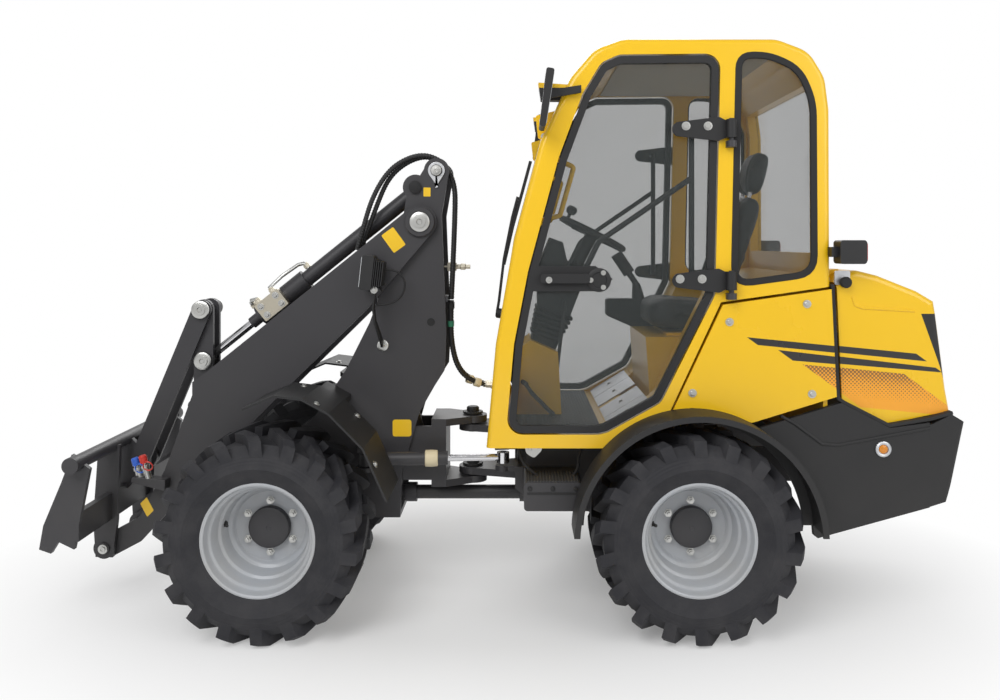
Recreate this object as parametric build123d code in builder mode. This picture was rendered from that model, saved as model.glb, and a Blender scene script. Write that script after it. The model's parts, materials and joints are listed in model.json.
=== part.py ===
"""Compact articulated wheel loader with cab and quick hitch, in millimetres.

X points forward, Y to the machine's left, Z up.  The origin is the middle
of the overall length and width, on the ground under the tyres.
"""

import os
from math import cos, radians, sin, tan

from build123d import *

os.makedirs("parts", exist_ok=True)

# Main sizes
FRONT_AXLE_X = 890.0
REAR_AXLE_X = -742.0
PIVOT_X = 126.0
AXLE_Z = 390.0
TYRE_R = 390.0
TYRE_W = 380.0
TYRE_Y = 508.0
RUN = 0.05

# Tyre and rim
TREAD_R = TYRE_R - 36.0
BEAD_R = 200.0
RIM_W = 310.0
DISC_Y = -42.0
HUB_R = 40.0
LUGS = 18

# Room round the tyres: body cut-outs and fenders
ARCH_ROOM = 30.0
FENDER_ROOM = 68.0
FENDER_T = 8.0

# Tower on the front frame
TOWER_Y = 140.0
PLATE_T = 14.0
LIFT_PIVOT = (342.0, 1578.0)
TILT_BASE = (365.0, 1727.0)
LIFT_BASE = (352.0, 545.0)
KEEPER_PIN = (275.0, 1798.0)
PIN_R = 25.0

# Boom
BOOM_Y = 172.0
BOOM_T = 16.0
LIFT_EYE = (560.0, 1290.0)
ROCKER_PIVOT = (1300.0, 800.0)
ROD_EYE = (1300.0, 975.0)
LINK_TOP = (1300.0, 1200.0)
LINK_LOW = (1575.0, 535.0)
HITCH_PIVOT = (1667.0, 206.0)
EYE_Y = 26.0
EYE_GAP = 3.0

# Steering cylinder in plan and drive shaft
STEER_BASE = (560.0, 240.0)
STEER_EYE = (-10.0, 200.0)
STEER_Z = 590.0
SHAFT_FRONT_X = 720.0
SHAFT_REAR_X = -130.0

# Cab and rear body
CAB_Y = 530.0
CAB_WALL = 46.0
CAB_FRAME = 52.0
BODY_Y = 530.0
FRAME_Y = 240.0
HOOD_Y = 505.0
HOOD_T = 12.0

WHEELS = (
    ("fl", FRONT_AXLE_X, 1),
    ("fr", FRONT_AXLE_X, -1),
    ("rl", REAR_AXLE_X, 1),
    ("rr", REAR_AXLE_X, -1),
)


def save(piece, name):
    """Writes a piece, raised by what larger tyres add to the drawn axle height."""
    placed = piece.moved(Location((0, 0, TYRE_R - AXLE_Z)))
    placed.label = name
    export_step(placed, f"parts/{name}.step")


def rounded(points, radius, above=0.0):
    """An outline of the side view with its corners above a level rounded."""
    Polygon(*points, align=None)
    fillet([corner for corner in vertices() if corner.Y > above], radius)


def span(start, end):
    """The distance between two points of the side view."""
    return ((end[0] - start[0]) ** 2 + (end[1] - start[1]) ** 2) ** 0.5


def along(start, end):
    """A plane at start whose normal points to end in the side view."""
    dx, dz = end[0] - start[0], end[1] - start[1]
    return Plane(origin=(start[0], 0, start[1]), x_dir=(0, 1, 0), z_dir=(dx, 0, dz))


# Tyres, one form for the left side, mirrored for the right
with BuildPart() as tyre_form:
    with BuildSketch(Plane.YZ):
        Polygon(
            (-RIM_W / 2 + 6, BEAD_R),
            (-RIM_W / 2 + 6, BEAD_R + 14),
            (-RIM_W / 2, BEAD_R + 14),
            (-TYRE_W / 2, BEAD_R + 72),
            (-TYRE_W / 2 + 14, TREAD_R - 34),
            (-TYRE_W / 2 + 46, TREAD_R),
            (TYRE_W / 2 - 46, TREAD_R),
            (TYRE_W / 2 - 14, TREAD_R - 34),
            (TYRE_W / 2, BEAD_R + 72),
            (RIM_W / 2, BEAD_R + 14),
            (RIM_W / 2 - 6, BEAD_R + 14),
            (RIM_W / 2 - 6, BEAD_R),
            align=None,
        )
    revolve(axis=Axis.Y)

with BuildPart() as lug_form:
    for row in (1, -1):
        for index in range(LUGS):
            turn = 360.0 / LUGS * (index + (0.25 if row > 0 else 0.75))
            radial = (sin(radians(turn)), 0, cos(radians(turn)))
            ahead = (cos(radians(turn)), 0, -sin(radians(turn)))
            lug_plane = Plane(origin=(0, 0, 0), x_dir=ahead, z_dir=radial)
            with BuildSketch(lug_plane.offset(TREAD_R - 60)):
                Polygon(
                    (58, row * 4),
                    (92, row * 22),
                    (-6, row * (TYRE_W / 2 - 12)),
                    (-52, row * (TYRE_W / 2 - 12)),
                    align=None,
                )
            extrude(amount=TYRE_R - TREAD_R + 60)
    with BuildSketch(Plane.YZ):
        Polygon(
            (-TYRE_W / 2 + 12, TREAD_R - 40),
            (-TYRE_W / 2 + 12, TYRE_R - 16),
            (-TYRE_W / 2 + 40, TYRE_R),
            (TYRE_W / 2 - 40, TYRE_R),
            (TYRE_W / 2 - 12, TYRE_R - 16),
            (TYRE_W / 2 - 12, TREAD_R - 40),
            align=None,
        )
    revolve(axis=Axis.Y, mode=Mode.INTERSECT)

for name, axle_x, side in WHEELS:
    with BuildPart() as tyre:
        add(tyre_form.part)
        add(lug_form.part)
        if side < 0:
            mirror(about=Plane.XZ, mode=Mode.REPLACE)
    save(tyre.part.moved(Location((axle_x, side * TYRE_Y, AXLE_Z))), f"tyre_{name}")

    with BuildPart() as rim:
        face_y = side * (TYRE_Y + DISC_Y)
        with BuildSketch(Plane.YZ.offset(axle_x)):
            with BuildLine():
                Polyline(
                    (side * (TYRE_Y - RIM_W / 2), AXLE_Z + BEAD_R + 14),
                    (side * (TYRE_Y - RIM_W / 2 + 6), AXLE_Z + BEAD_R + 14),
                    (side * (TYRE_Y - RIM_W / 2 + 6), AXLE_Z + BEAD_R),
                    (side * (TYRE_Y + RIM_W / 2 - 6), AXLE_Z + BEAD_R),
                    (side * (TYRE_Y + RIM_W / 2 - 6), AXLE_Z + BEAD_R + 14),
                    (side * (TYRE_Y + RIM_W / 2), AXLE_Z + BEAD_R + 14),
                    (side * (TYRE_Y + RIM_W / 2), AXLE_Z + BEAD_R - 4),
                    (side * (TYRE_Y + 40), AXLE_Z + BEAD_R - 22),
                    (face_y + side * 14, AXLE_Z + BEAD_R - 40),
                    (face_y + side * 14, AXLE_Z + 82),
                    (face_y + side * 62, AXLE_Z + 76),
                    (face_y + side * 70, AXLE_Z + 66),
                    (face_y + side * 70, AXLE_Z),
                    (face_y + side * 40, AXLE_Z),
                    (face_y + side * 40, AXLE_Z + HUB_R + RUN),
                    (face_y, AXLE_Z + HUB_R + RUN),
                    (face_y, AXLE_Z + BEAD_R - 36),
                    (side * (TYRE_Y - RIM_W / 2), AXLE_Z + BEAD_R - 10),
                    close=True,
                )
            make_face()
        revolve(axis=Axis((axle_x, 0, AXLE_Z), (0, 1, 0)))
    save(rim.part, f"rim_{name}")

# Axles with their end flanges and wheel spindles
for name, axle_x in (("front_axle", FRONT_AXLE_X), ("rear_axle", REAR_AXLE_X)):
    with BuildPart() as axle:
        with BuildSketch(Plane.XZ.offset(-(TYRE_Y + DISC_Y - 40))):
            with Locations((axle_x, AXLE_Z)):
                Circle(70)
        extrude(amount=2 * (TYRE_Y + DISC_Y - 40))
        with BuildSketch(Plane.XZ.offset(-130)):
            with Locations((axle_x, AXLE_Z)):
                Circle(125)
        extrude(amount=260)
        if name == "front_axle":
            for fork_z in (AXLE_Z - 50, AXLE_Z + 36):
                with BuildSketch(Plane.XY.offset(fork_z)):
                    with Locations(((SHAFT_FRONT_X + axle_x - 100) / 2, 0)):
                        Rectangle(axle_x - 100 - SHAFT_FRONT_X + 44, 56)
                extrude(amount=14)
            with BuildSketch(Plane.XY.offset(AXLE_Z - 50)):
                with Locations((SHAFT_FRONT_X, 0)):
                    Circle(12)
            extrude(amount=100)
        for side in (1, -1):
            with BuildSketch(Plane.XZ.offset(-side * (TYRE_Y + DISC_Y - 40))):
                with Locations((axle_x, AXLE_Z)):
                    Circle(105)
            extrude(amount=-side * 35)
            with BuildSketch(Plane.XZ.offset(-side * (TYRE_Y + DISC_Y - 30))):
                with Locations((axle_x, AXLE_Z)):
                    Circle(HUB_R)
            extrude(amount=-side * 64)
    save(axle.part, name)

# Front frame: two tower plates, floor, rear box and articulation ears
TOWER = (
    (222, 1790), (328, 1806), (404, 1680), (424, 1560), (470, 1400), (560, 1150), (660, 950),
    (800, 740), (1040, 560), (1040, 318), (430, 318), (420, 520), (348, 765), (283, 879),
    (241, 945), (233, 1103), (253, 1608),
)
EAR_Z = ((704.0, 734.0), (444.0, 474.0))
CLAMP_W = 84.0
with BuildPart() as front_frame:
    for side in (1, -1):
        with BuildSketch(Plane.XZ.offset(-side * TOWER_Y)):
            Polygon(*TOWER, align=None)
            with Locations(KEEPER_PIN, TILT_BASE):
                Circle(2 * PIN_R + 4)
            with Locations((FRONT_AXLE_X, AXLE_Z)):
                Circle(125, mode=Mode.SUBTRACT)
        extrude(amount=side * PLATE_T)
        with BuildSketch(Plane.XZ.offset(-side * (TOWER_Y - PLATE_T))):
            Polygon((235, 474), (450, 474), (450, 704), (235, 704), align=None)
        extrude(amount=side * 16)
    for front_x, rear_x, low_z, high_z in (
        (1040, 990, 520, 560),
        (760, 430, 318, 340),
        (700, 640, 760, 860),
    ):
        with BuildSketch(Plane.XY.offset(low_z)):
            with Locations(((front_x + rear_x) / 2, 0)):
                Rectangle(front_x - rear_x, 2 * TOWER_Y)
        extrude(amount=high_z - low_z)
    for low_z, high_z in EAR_Z:
        with BuildSketch(Plane.XY.offset(low_z)):
            with Locations((PIVOT_X, 0)):
                Circle(62)
            Polygon(
                (PIVOT_X, 62), (PIVOT_X, -62), (235, -126), (298, -126), (298, 126), (235, 126),
                align=None,
            )
        extrude(amount=high_z - low_z)
    with BuildSketch(Plane.XZ.offset(-TOWER_Y + PLATE_T)):
        Polygon((235, 474), (259, 474), (259, 704), (235, 704), align=None)
    extrude(amount=2 * (TOWER_Y - PLATE_T))
    for low_z in (STEER_Z - 48, STEER_Z + 30):
        with BuildSketch(Plane.XY.offset(low_z)):
            with Locations((STEER_BASE[0], (TOWER_Y + STEER_BASE[1]) / 2)):
                Rectangle(70, STEER_BASE[1] - TOWER_Y)
            with Locations(STEER_BASE):
                Circle(35)
        extrude(amount=18)
    with BuildSketch(Plane.XY.offset(STEER_Z - 48)):
        with Locations(STEER_BASE):
            Circle(14)
    extrude(amount=96)
    with BuildSketch(Plane.XZ.offset(-TOWER_Y + PLATE_T / 2)):
        Polygon((227.3, 1238), (227.3, 1262), (300, 1262), (300, 1238), align=None)
    extrude(amount=CLAMP_W)
    for pin_low, pin_high in ((660, 746), (436, 520)):
        with BuildSketch(Plane.XY.offset(pin_low)):
            with Locations((PIVOT_X, 0)):
                Circle(28)
        extrude(amount=pin_high - pin_low)
    for pin_x, pin_z in (LIFT_PIVOT, TILT_BASE, LIFT_BASE, KEEPER_PIN):
        reach = BOOM_Y + 14 if (pin_x, pin_z) == LIFT_PIVOT else TOWER_Y + 12
        with BuildSketch(Plane.XZ.offset(-reach)):
            with Locations((pin_x, pin_z)):
                Circle(PIN_R)
        extrude(amount=2 * reach)
save(front_frame.part, "front_frame")

# Front fenders: a sheet bent round the tyre, points by angle and room, on a tower bracket
FENDER_BENDS = ((81.6, 87), (95.3, 134), (106.4, 141), (118.7, 130), (139.2, 109), (164.4, 94))


def fender_points(extra):
    """The fender's section at a distance outside its inner face."""
    return [
        (
            FRONT_AXLE_X + (TYRE_R + room + extra) * cos(radians(angle)),
            AXLE_Z + (TYRE_R + room + extra) * sin(radians(angle)),
        )
        for angle, room in FENDER_BENDS
    ]


with BuildPart() as front_fenders:
    for side in (1, -1):
        inner, outer = fender_points(0), fender_points(FENDER_T)
        with BuildSketch(Plane.XZ.offset(-side * 620)):
            Polygon(*inner, *reversed(outer), align=None)
        extrude(amount=side * 320)
        with BuildSketch(Plane.XZ.offset(-side * 420)):
            Polygon(
                inner[2], inner[3], (inner[3][0], inner[3][1] - 26), (inner[2][0], inner[2][1] - 21),
                align=None,
            )
        extrude(amount=side * (420 - TOWER_Y))
save(front_fenders.part, "front_fenders")

# Boom: two side plates, cross tubes, pins for lift cylinder and rocker
BOOM = (
    (390, 1632), (1262, 930), (1306, 900), (1306, 845), (1422, 528), (1528, 330), (1700, 238),
    (1690, 166), (1640, 164), (1523, 226), (1440, 316), (1180, 600), (892, 888), (560, 1214),
    (300, 1522),
)
with BuildPart() as boom:
    for side in (1, -1):
        with BuildSketch(Plane.XZ.offset(-side * BOOM_Y)):
            Polygon(*BOOM, align=None)
            with Locations(LIFT_PIVOT):
                Circle(70)
            with Locations(HITCH_PIVOT):
                Circle(46)
            with Locations(LIFT_PIVOT):
                Circle(PIN_R + RUN, mode=Mode.SUBTRACT)
            with Locations(HITCH_PIVOT):
                Circle(PIN_R + RUN, mode=Mode.SUBTRACT)
        extrude(amount=side * BOOM_T)
    for cross_x, cross_z, cross_r in (
        (940, 1060, 62),
        (1370, 500, 44),
        (ROCKER_PIVOT[0], ROCKER_PIVOT[1], PIN_R),
    ):
        with BuildSketch(Plane.XZ.offset(-BOOM_Y + 1)):
            with Locations((cross_x, cross_z)):
                Circle(cross_r)
        extrude(amount=2 * BOOM_Y - 2)
    for side in (1, -1):
        with BuildSketch(Plane.XZ.offset(-side * (BOOM_Y - 1))):
            with Locations(LIFT_EYE):
                Circle(PIN_R)
        extrude(amount=side * (BOOM_Y - 1 - EYE_Y - EYE_GAP))
save(boom.part, "boom")

# Rocker on the boom's nose: two plates and a hub on the rocker pin
with BuildPart() as rocker:
    for side in (1, -1):
        with BuildSketch(Plane.XZ.offset(-side * 52)):
            Polygon((1342, 800), (1342, 1200), (1258, 1200), (1258, 800), align=None)
            with Locations(ROCKER_PIVOT, LINK_TOP):
                Circle(42)
            with Locations(ROCKER_PIVOT):
                Circle(PIN_R + RUN, mode=Mode.SUBTRACT)
        extrude(amount=side * 20)
        with BuildSketch(Plane.XZ.offset(-side * 60)):
            with Locations(ROD_EYE):
                Circle(36)
        extrude(amount=side * 12)
    with BuildSketch(Plane.XZ.offset(-52)):
        with Locations(ROCKER_PIVOT):
            Circle(42)
            Circle(PIN_R + RUN, mode=Mode.SUBTRACT)
    extrude(amount=104)
    with BuildSketch(Plane.XZ.offset(-90)):
        with Locations(LINK_TOP):
            Circle(PIN_R)
    extrude(amount=180)
save(rocker.part, "rocker")

# Links from the rocker's top to the hitch
with BuildPart() as tilt_links:
    for side in (1, -1):
        with BuildSketch(Plane.XZ.offset(-side * 76)):
            with Locations(LINK_TOP, LINK_LOW):
                Circle(40)
            Polygon(
                (LINK_TOP[0] + 37, LINK_TOP[1] + 15.3),
                (LINK_LOW[0] + 37, LINK_LOW[1] + 15.3),
                (LINK_LOW[0] - 37, LINK_LOW[1] - 15.3),
                (LINK_TOP[0] - 37, LINK_TOP[1] - 15.3),
                align=None,
            )
            with Locations(LINK_TOP):
                Circle(PIN_R + RUN, mode=Mode.SUBTRACT)
        extrude(amount=side * 18)
save(tilt_links.part, "tilt_links")

# Quick hitch
SIDE_HOOK = (
    (1590, 612), (1660, 668), (1700, 560), (1770, 392), (1786, 300), (1740, 284),
    (1712, 330), (1650, 300), (1618, 470),
)
HITCH_TUBE = (1640.0, 636.0)
HITCH_TUBE_R = 29.0
HITCH_PIN_R = 32.0
HITCH_PIN_L = 55.0
HOOK_Y = 490.0
with BuildPart() as hitch:
    with BuildSketch(Plane.XZ.offset(-HOOK_Y)):
        with Locations(HITCH_TUBE):
            Circle(HITCH_TUBE_R)
    extrude(amount=2 * HOOK_Y)
    for side in (1, -1):
        with BuildSketch(Plane.XZ.offset(-side * HOOK_Y)):
            Polygon(*SIDE_HOOK, align=None)
        extrude(amount=side * 22)
        with BuildSketch(Plane.XZ.offset(-side * (HOOK_Y + HITCH_PIN_L))):
            with Locations(HITCH_TUBE):
                Circle(HITCH_PIN_R)
        extrude(amount=side * HITCH_PIN_L)
        with BuildSketch(Plane.XZ.offset(-side * 200)):
            Polygon(
                (1630, 168), (1702, 170), (1712, 330), (1690, 640), (1600, 640), (1612, 320),
                align=None,
            )
            with Locations(HITCH_PIVOT):
                Circle(44)
        extrude(amount=side * 22)
        with BuildSketch(Plane.XZ.offset(-side * 54)):
            Polygon(
                (1538, 560), (1548, 500), (1630, 420), (1680, 420), (1665, 636), (1615, 640),
                align=None,
            )
            with Locations(LINK_LOW):
                Circle(40)
        extrude(amount=side * 24)
    with BuildSketch(Plane.XZ.offset(-HOOK_Y)):
        Polygon((1632, 330), (1660, 330), (1660, 440), (1632, 440), align=None)
    extrude(amount=2 * HOOK_Y)
    with BuildSketch(Plane.XZ.offset(-206)):
        with Locations(HITCH_PIVOT):
            Circle(PIN_R)
    extrude(amount=412)
save(hitch.part, "hitch")

# Lift cylinder: barrel on its base pin, rod towards the boom
LIFT_BARREL_R = 45.0
LIFT_BARREL_L = 640.0
LIFT_ROD_R = 25.0
lift_line = along(LIFT_BASE, LIFT_EYE)
with BuildPart() as lift_barrel:
    with BuildSketch(lift_line.offset(34)):
        Circle(LIFT_BARREL_R)
    extrude(amount=LIFT_BARREL_L - 34)
    with BuildSketch(Plane.XZ.offset(-40)):
        with Locations(LIFT_BASE):
            Circle(PIN_R + 19)
    extrude(amount=80)
    with BuildSketch(Plane.XZ.offset(-60)):
        with Locations(LIFT_BASE):
            Circle(PIN_R + RUN)
    extrude(amount=120, mode=Mode.SUBTRACT)
    with BuildSketch(lift_line.offset(90)):
        Circle(LIFT_BARREL_R - 10)
    extrude(amount=LIFT_BARREL_L - 120, mode=Mode.SUBTRACT)
    with BuildSketch(lift_line.offset(LIFT_BARREL_L - 30)):
        Circle(LIFT_ROD_R + RUN)
    extrude(amount=40, mode=Mode.SUBTRACT)
save(lift_barrel.part, "lift_barrel")

with BuildPart() as lift_rod:
    with BuildSketch(lift_line.offset(130)):
        Circle(LIFT_ROD_R)
    extrude(amount=span(LIFT_BASE, LIFT_EYE) - 160)
    with BuildSketch(Plane.XZ.offset(-EYE_Y)):
        with Locations(LIFT_EYE):
            Circle(PIN_R + 11)
    extrude(amount=2 * EYE_Y)
save(lift_rod.part, "lift_rod")

# Tilt cylinder: long tube, fat working end and a gland nose that fits between the rocker plates
TILT_TUBE_R = 34.0
TILT_BARREL_R = 46.0
TILT_NOSE_R = 26.0
TILT_ROD_R = 18.0
TILT_BORE_R = 26.0
TILT_TUBE_L = 635.0
TILT_BARREL_L = 895.0
TILT_GLAND = 20.0
TILT_NOSE_L = TILT_BARREL_L + 50.0
TILT_VALVE_AT = TILT_BARREL_L - 87.0
TILT_BORE_FROM = 310.0
TILT_ROD_FROM = 560.0
tilt_line = along(TILT_BASE, ROD_EYE)
with BuildPart() as tilt_barrel:
    with BuildSketch(tilt_line.offset(34)):
        Circle(TILT_TUBE_R)
    extrude(amount=TILT_TUBE_L - 34)
    with BuildSketch(tilt_line.offset(TILT_TUBE_L)):
        Circle(TILT_BARREL_R)
    extrude(amount=TILT_BARREL_L - TILT_TUBE_L)
    with BuildSketch(tilt_line.offset(TILT_BARREL_L)):
        Circle(TILT_NOSE_R)
    extrude(amount=TILT_NOSE_L - TILT_BARREL_L)
    with BuildSketch(Plane.XZ.offset(-40)):
        with Locations(TILT_BASE):
            Circle(PIN_R + 19)
    extrude(amount=80)
    with BuildSketch(Plane.XZ.offset(-60)):
        with Locations(TILT_BASE):
            Circle(PIN_R + RUN)
    extrude(amount=120, mode=Mode.SUBTRACT)
    with BuildSketch(tilt_line.offset(TILT_BORE_FROM)):
        Circle(TILT_BORE_R)
    extrude(amount=TILT_BARREL_L - TILT_GLAND - TILT_BORE_FROM, mode=Mode.SUBTRACT)
    with BuildSketch(tilt_line.offset(TILT_BARREL_L - TILT_GLAND)):
        Circle(TILT_ROD_R + RUN)
    extrude(amount=TILT_NOSE_L - TILT_BARREL_L + TILT_GLAND + 10, mode=Mode.SUBTRACT)
save(tilt_barrel.part, "tilt_barrel")

with BuildPart() as tilt_rod:
    with BuildSketch(tilt_line.offset(TILT_ROD_FROM)):
        Circle(TILT_ROD_R)
    extrude(amount=span(TILT_BASE, ROD_EYE) - TILT_ROD_FROM - 30)
    with BuildSketch(Plane.XZ.offset(-EYE_Y)):
        with Locations(ROD_EYE):
            Circle(34)
            Circle(PIN_R, mode=Mode.SUBTRACT)
    extrude(amount=2 * EYE_Y)
save(tilt_rod.part, "tilt_rod")

# Piston of the tilt cylinder, sealed inside its barrel
with BuildPart() as tilt_piston:
    with BuildSketch(tilt_line.offset(TILT_ROD_FROM - 34)):
        Circle(TILT_BORE_R - 1)
    extrude(amount=30)
save(tilt_piston.part, "tilt_piston")

# Valve block on the left of the tilt cylinder's working end
with BuildPart() as tilt_valve:
    valve_plane = Plane(origin=tilt_line.origin, x_dir=tilt_line.z_dir, z_dir=(0, 1, 0))
    with BuildSketch(valve_plane.offset(TILT_BARREL_R + 0.3)):
        with Locations((TILT_VALVE_AT, 0)):
            RectangleRounded(126, 84, 6)
    extrude(amount=40)
save(tilt_valve.part, "tilt_valve")

# Rear chassis with the inner articulation ears; its rails rest on the axle's pads
RAIL_Z = AXLE_Z + 110.0
with BuildPart() as rear_chassis:
    for side in (1, -1):
        with BuildSketch(Plane.XZ.offset(-side * FRAME_Y)):
            Polygon(
                (-60, 470), (-60, 700), (-480, 700), (-560, 640), (-1640, 640), (-1640, RAIL_Z),
                (-600, RAIL_Z), (-420, 430), (-110, 430),
                align=None,
            )
        extrude(amount=side * 20)
        with BuildSketch(Plane.XZ.offset(-side * FRAME_Y)):
            with Locations((REAR_AXLE_X, AXLE_Z + 82)):
                Rectangle(150, 60)
            with Locations((REAR_AXLE_X, AXLE_Z)):
                Circle(70, mode=Mode.SUBTRACT)
        extrude(amount=side * 60)
        with BuildSketch(Plane.XY.offset(536)):
            with Locations((-45, side * 200)):
                Rectangle(70, 50)
            with Locations((STEER_EYE[0], side * STEER_EYE[1])):
                Circle(32)
        extrude(amount=22)
    for low_z, high_z in ((668.0, 698.0), (480.0, 510.0)):
        with BuildSketch(Plane.XY.offset(low_z)):
            with Locations((PIVOT_X, 0)):
                Circle(60)
            Polygon((PIVOT_X, 60), (PIVOT_X, -60), (-70, -120), (-70, 120), align=None)
            with Locations((PIVOT_X, 0)):
                Circle(28 + RUN, mode=Mode.SUBTRACT)
        extrude(amount=high_z - low_z)
    for cross_x, low_z, high_z in ((-70, 470, 700), (-560, 500, 640), (-1000, 500, 640), (-1620, 500, 640)):
        with BuildSketch(Plane.XY.offset(low_z)):
            with Locations((cross_x - 10, 0)):
                Rectangle(20, 2 * FRAME_Y)
        extrude(amount=high_z - low_z)
    for side in (1, -1):
        with BuildSketch(Plane.YZ.offset(-110)):
            with Locations((side * 190, STEER_Z + 10)):
                Rectangle(112, 84)
        extrude(amount=80, mode=Mode.SUBTRACT)
        with BuildSketch(Plane.XZ.offset(-side * 490)):
            rounded(((-95, 449), (-95, 560), (-319, 560), (-319, 449)), 14)
        extrude(amount=side * (490 - FRAME_Y + 2))
    with BuildSketch(Plane.XZ.offset(-110)):
        with Locations((-320, 410)):
            Rectangle(200, 150)
    extrude(amount=220)
    with BuildSketch(Plane.XZ.offset(-FRAME_Y)):
        with Locations((-320, 450)):
            Rectangle(60, 40)
    extrude(amount=2 * FRAME_Y)
save(rear_chassis.part, "rear_chassis")

with BuildPart() as engine_block:
    with BuildSketch(Plane.XY.offset(640)):
        with Locations((-1440, 0)):
            Rectangle(340, 460)
    extrude(amount=430)
save(engine_block.part, "engine_block")

# Round room of the rear tyres, cut from whatever bodywork reaches them
with BuildPart() as rear_arches:
    for side in (1, -1):
        with BuildSketch(Plane.XZ.offset(-side * (BODY_Y + 1))):
            with Locations((REAR_AXLE_X, AXLE_Z)):
                Circle(TYRE_R + ARCH_ROOM)
        extrude(amount=side * TYRE_W)

# Cab shell, hollow, with door, window and screen openings
CAB = (
    (50, 702), (14, 1100), (-56, 1504), (-156, 1877), (-274, 2126), (-367, 2235), (-476, 2274),
    (-1067, 2274), (-1191, 2227), (-1252, 2126), (-1268, 2003), (-1271, 1322), (-850, 1262),
    (-648, 830), (-440, 702),
)
DOOR = (
    (-25, 754), (-56, 1100), (-110, 1380), (-227, 1815), (-320, 2064), (-390, 2181), (-459, 2212),
    (-849, 2216), (-828, 1290), (-620, 876), (-414, 762), (-380, 754),
)
QUARTER = (
    (-919, 2210), (-1036, 2210), (-1150, 2157), (-1204, 2034), (-1208, 1372), (-900, 1330),
)
CAB_BEND_R = 120.0
CAB_EDGE_R = 22.0
DOOR_BEND_R = 60.0
DOOR_GAP = 6.0
DOOR_SEAL = 28.0
WELL_Y = 288.0
WELL_T = 12.0
with BuildPart() as cab_frame:
    with BuildSketch(Plane.XZ.offset(-CAB_Y)):
        rounded(CAB, CAB_BEND_R, above=1500)
    extrude(amount=2 * CAB_Y)
    for side in (0, -1):
        rim_edges = cab_frame.faces().sort_by(Axis.Y)[side].edges()
        fillet([edge for edge in rim_edges if edge.center().Z > 1340 or edge.center().X > -100], CAB_EDGE_R)
    with BuildSketch(Plane.XZ.offset(-WELL_Y - WELL_T)):
        Polygon((-560, 800), (-990, 800), (-990, 1290), (-760, 1290), align=None)
    extrude(amount=2 * (WELL_Y + WELL_T))
    with BuildSketch(Plane.XZ.offset(-CAB_Y + CAB_WALL)):
        rounded(CAB, CAB_BEND_R, above=1500)
        offset(amount=-CAB_FRAME, kind=Kind.INTERSECTION, mode=Mode.REPLACE)
    extrude(amount=2 * (CAB_Y - CAB_WALL), mode=Mode.SUBTRACT)
    with BuildSketch(Plane.XZ.offset(-WELL_Y)):
        Polygon((-520, 812), (-978, 812), (-978, 1400), (-520, 1400), align=None)
    extrude(amount=2 * WELL_Y, mode=Mode.SUBTRACT)
    for opening in (DOOR, QUARTER):
        with BuildSketch(Plane.XZ.offset(-CAB_Y - 1)):
            rounded(opening, DOOR_BEND_R)
        extrude(amount=2 * CAB_Y + 2, mode=Mode.SUBTRACT)
    with BuildSketch(Plane.YZ.offset(-420)):
        with Locations((0, 1560)):
            Rectangle(2 * CAB_Y - 150, 1020)
    extrude(amount=600, mode=Mode.SUBTRACT)
    with BuildSketch(Plane.YZ.offset(-1300)):
        with Locations((0, 1780)):
            Rectangle(2 * CAB_Y - 170, 660)
    extrude(amount=150, mode=Mode.SUBTRACT)
    add(rear_arches.part, mode=Mode.SUBTRACT)
save(cab_frame.part, "cab_frame")

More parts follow.
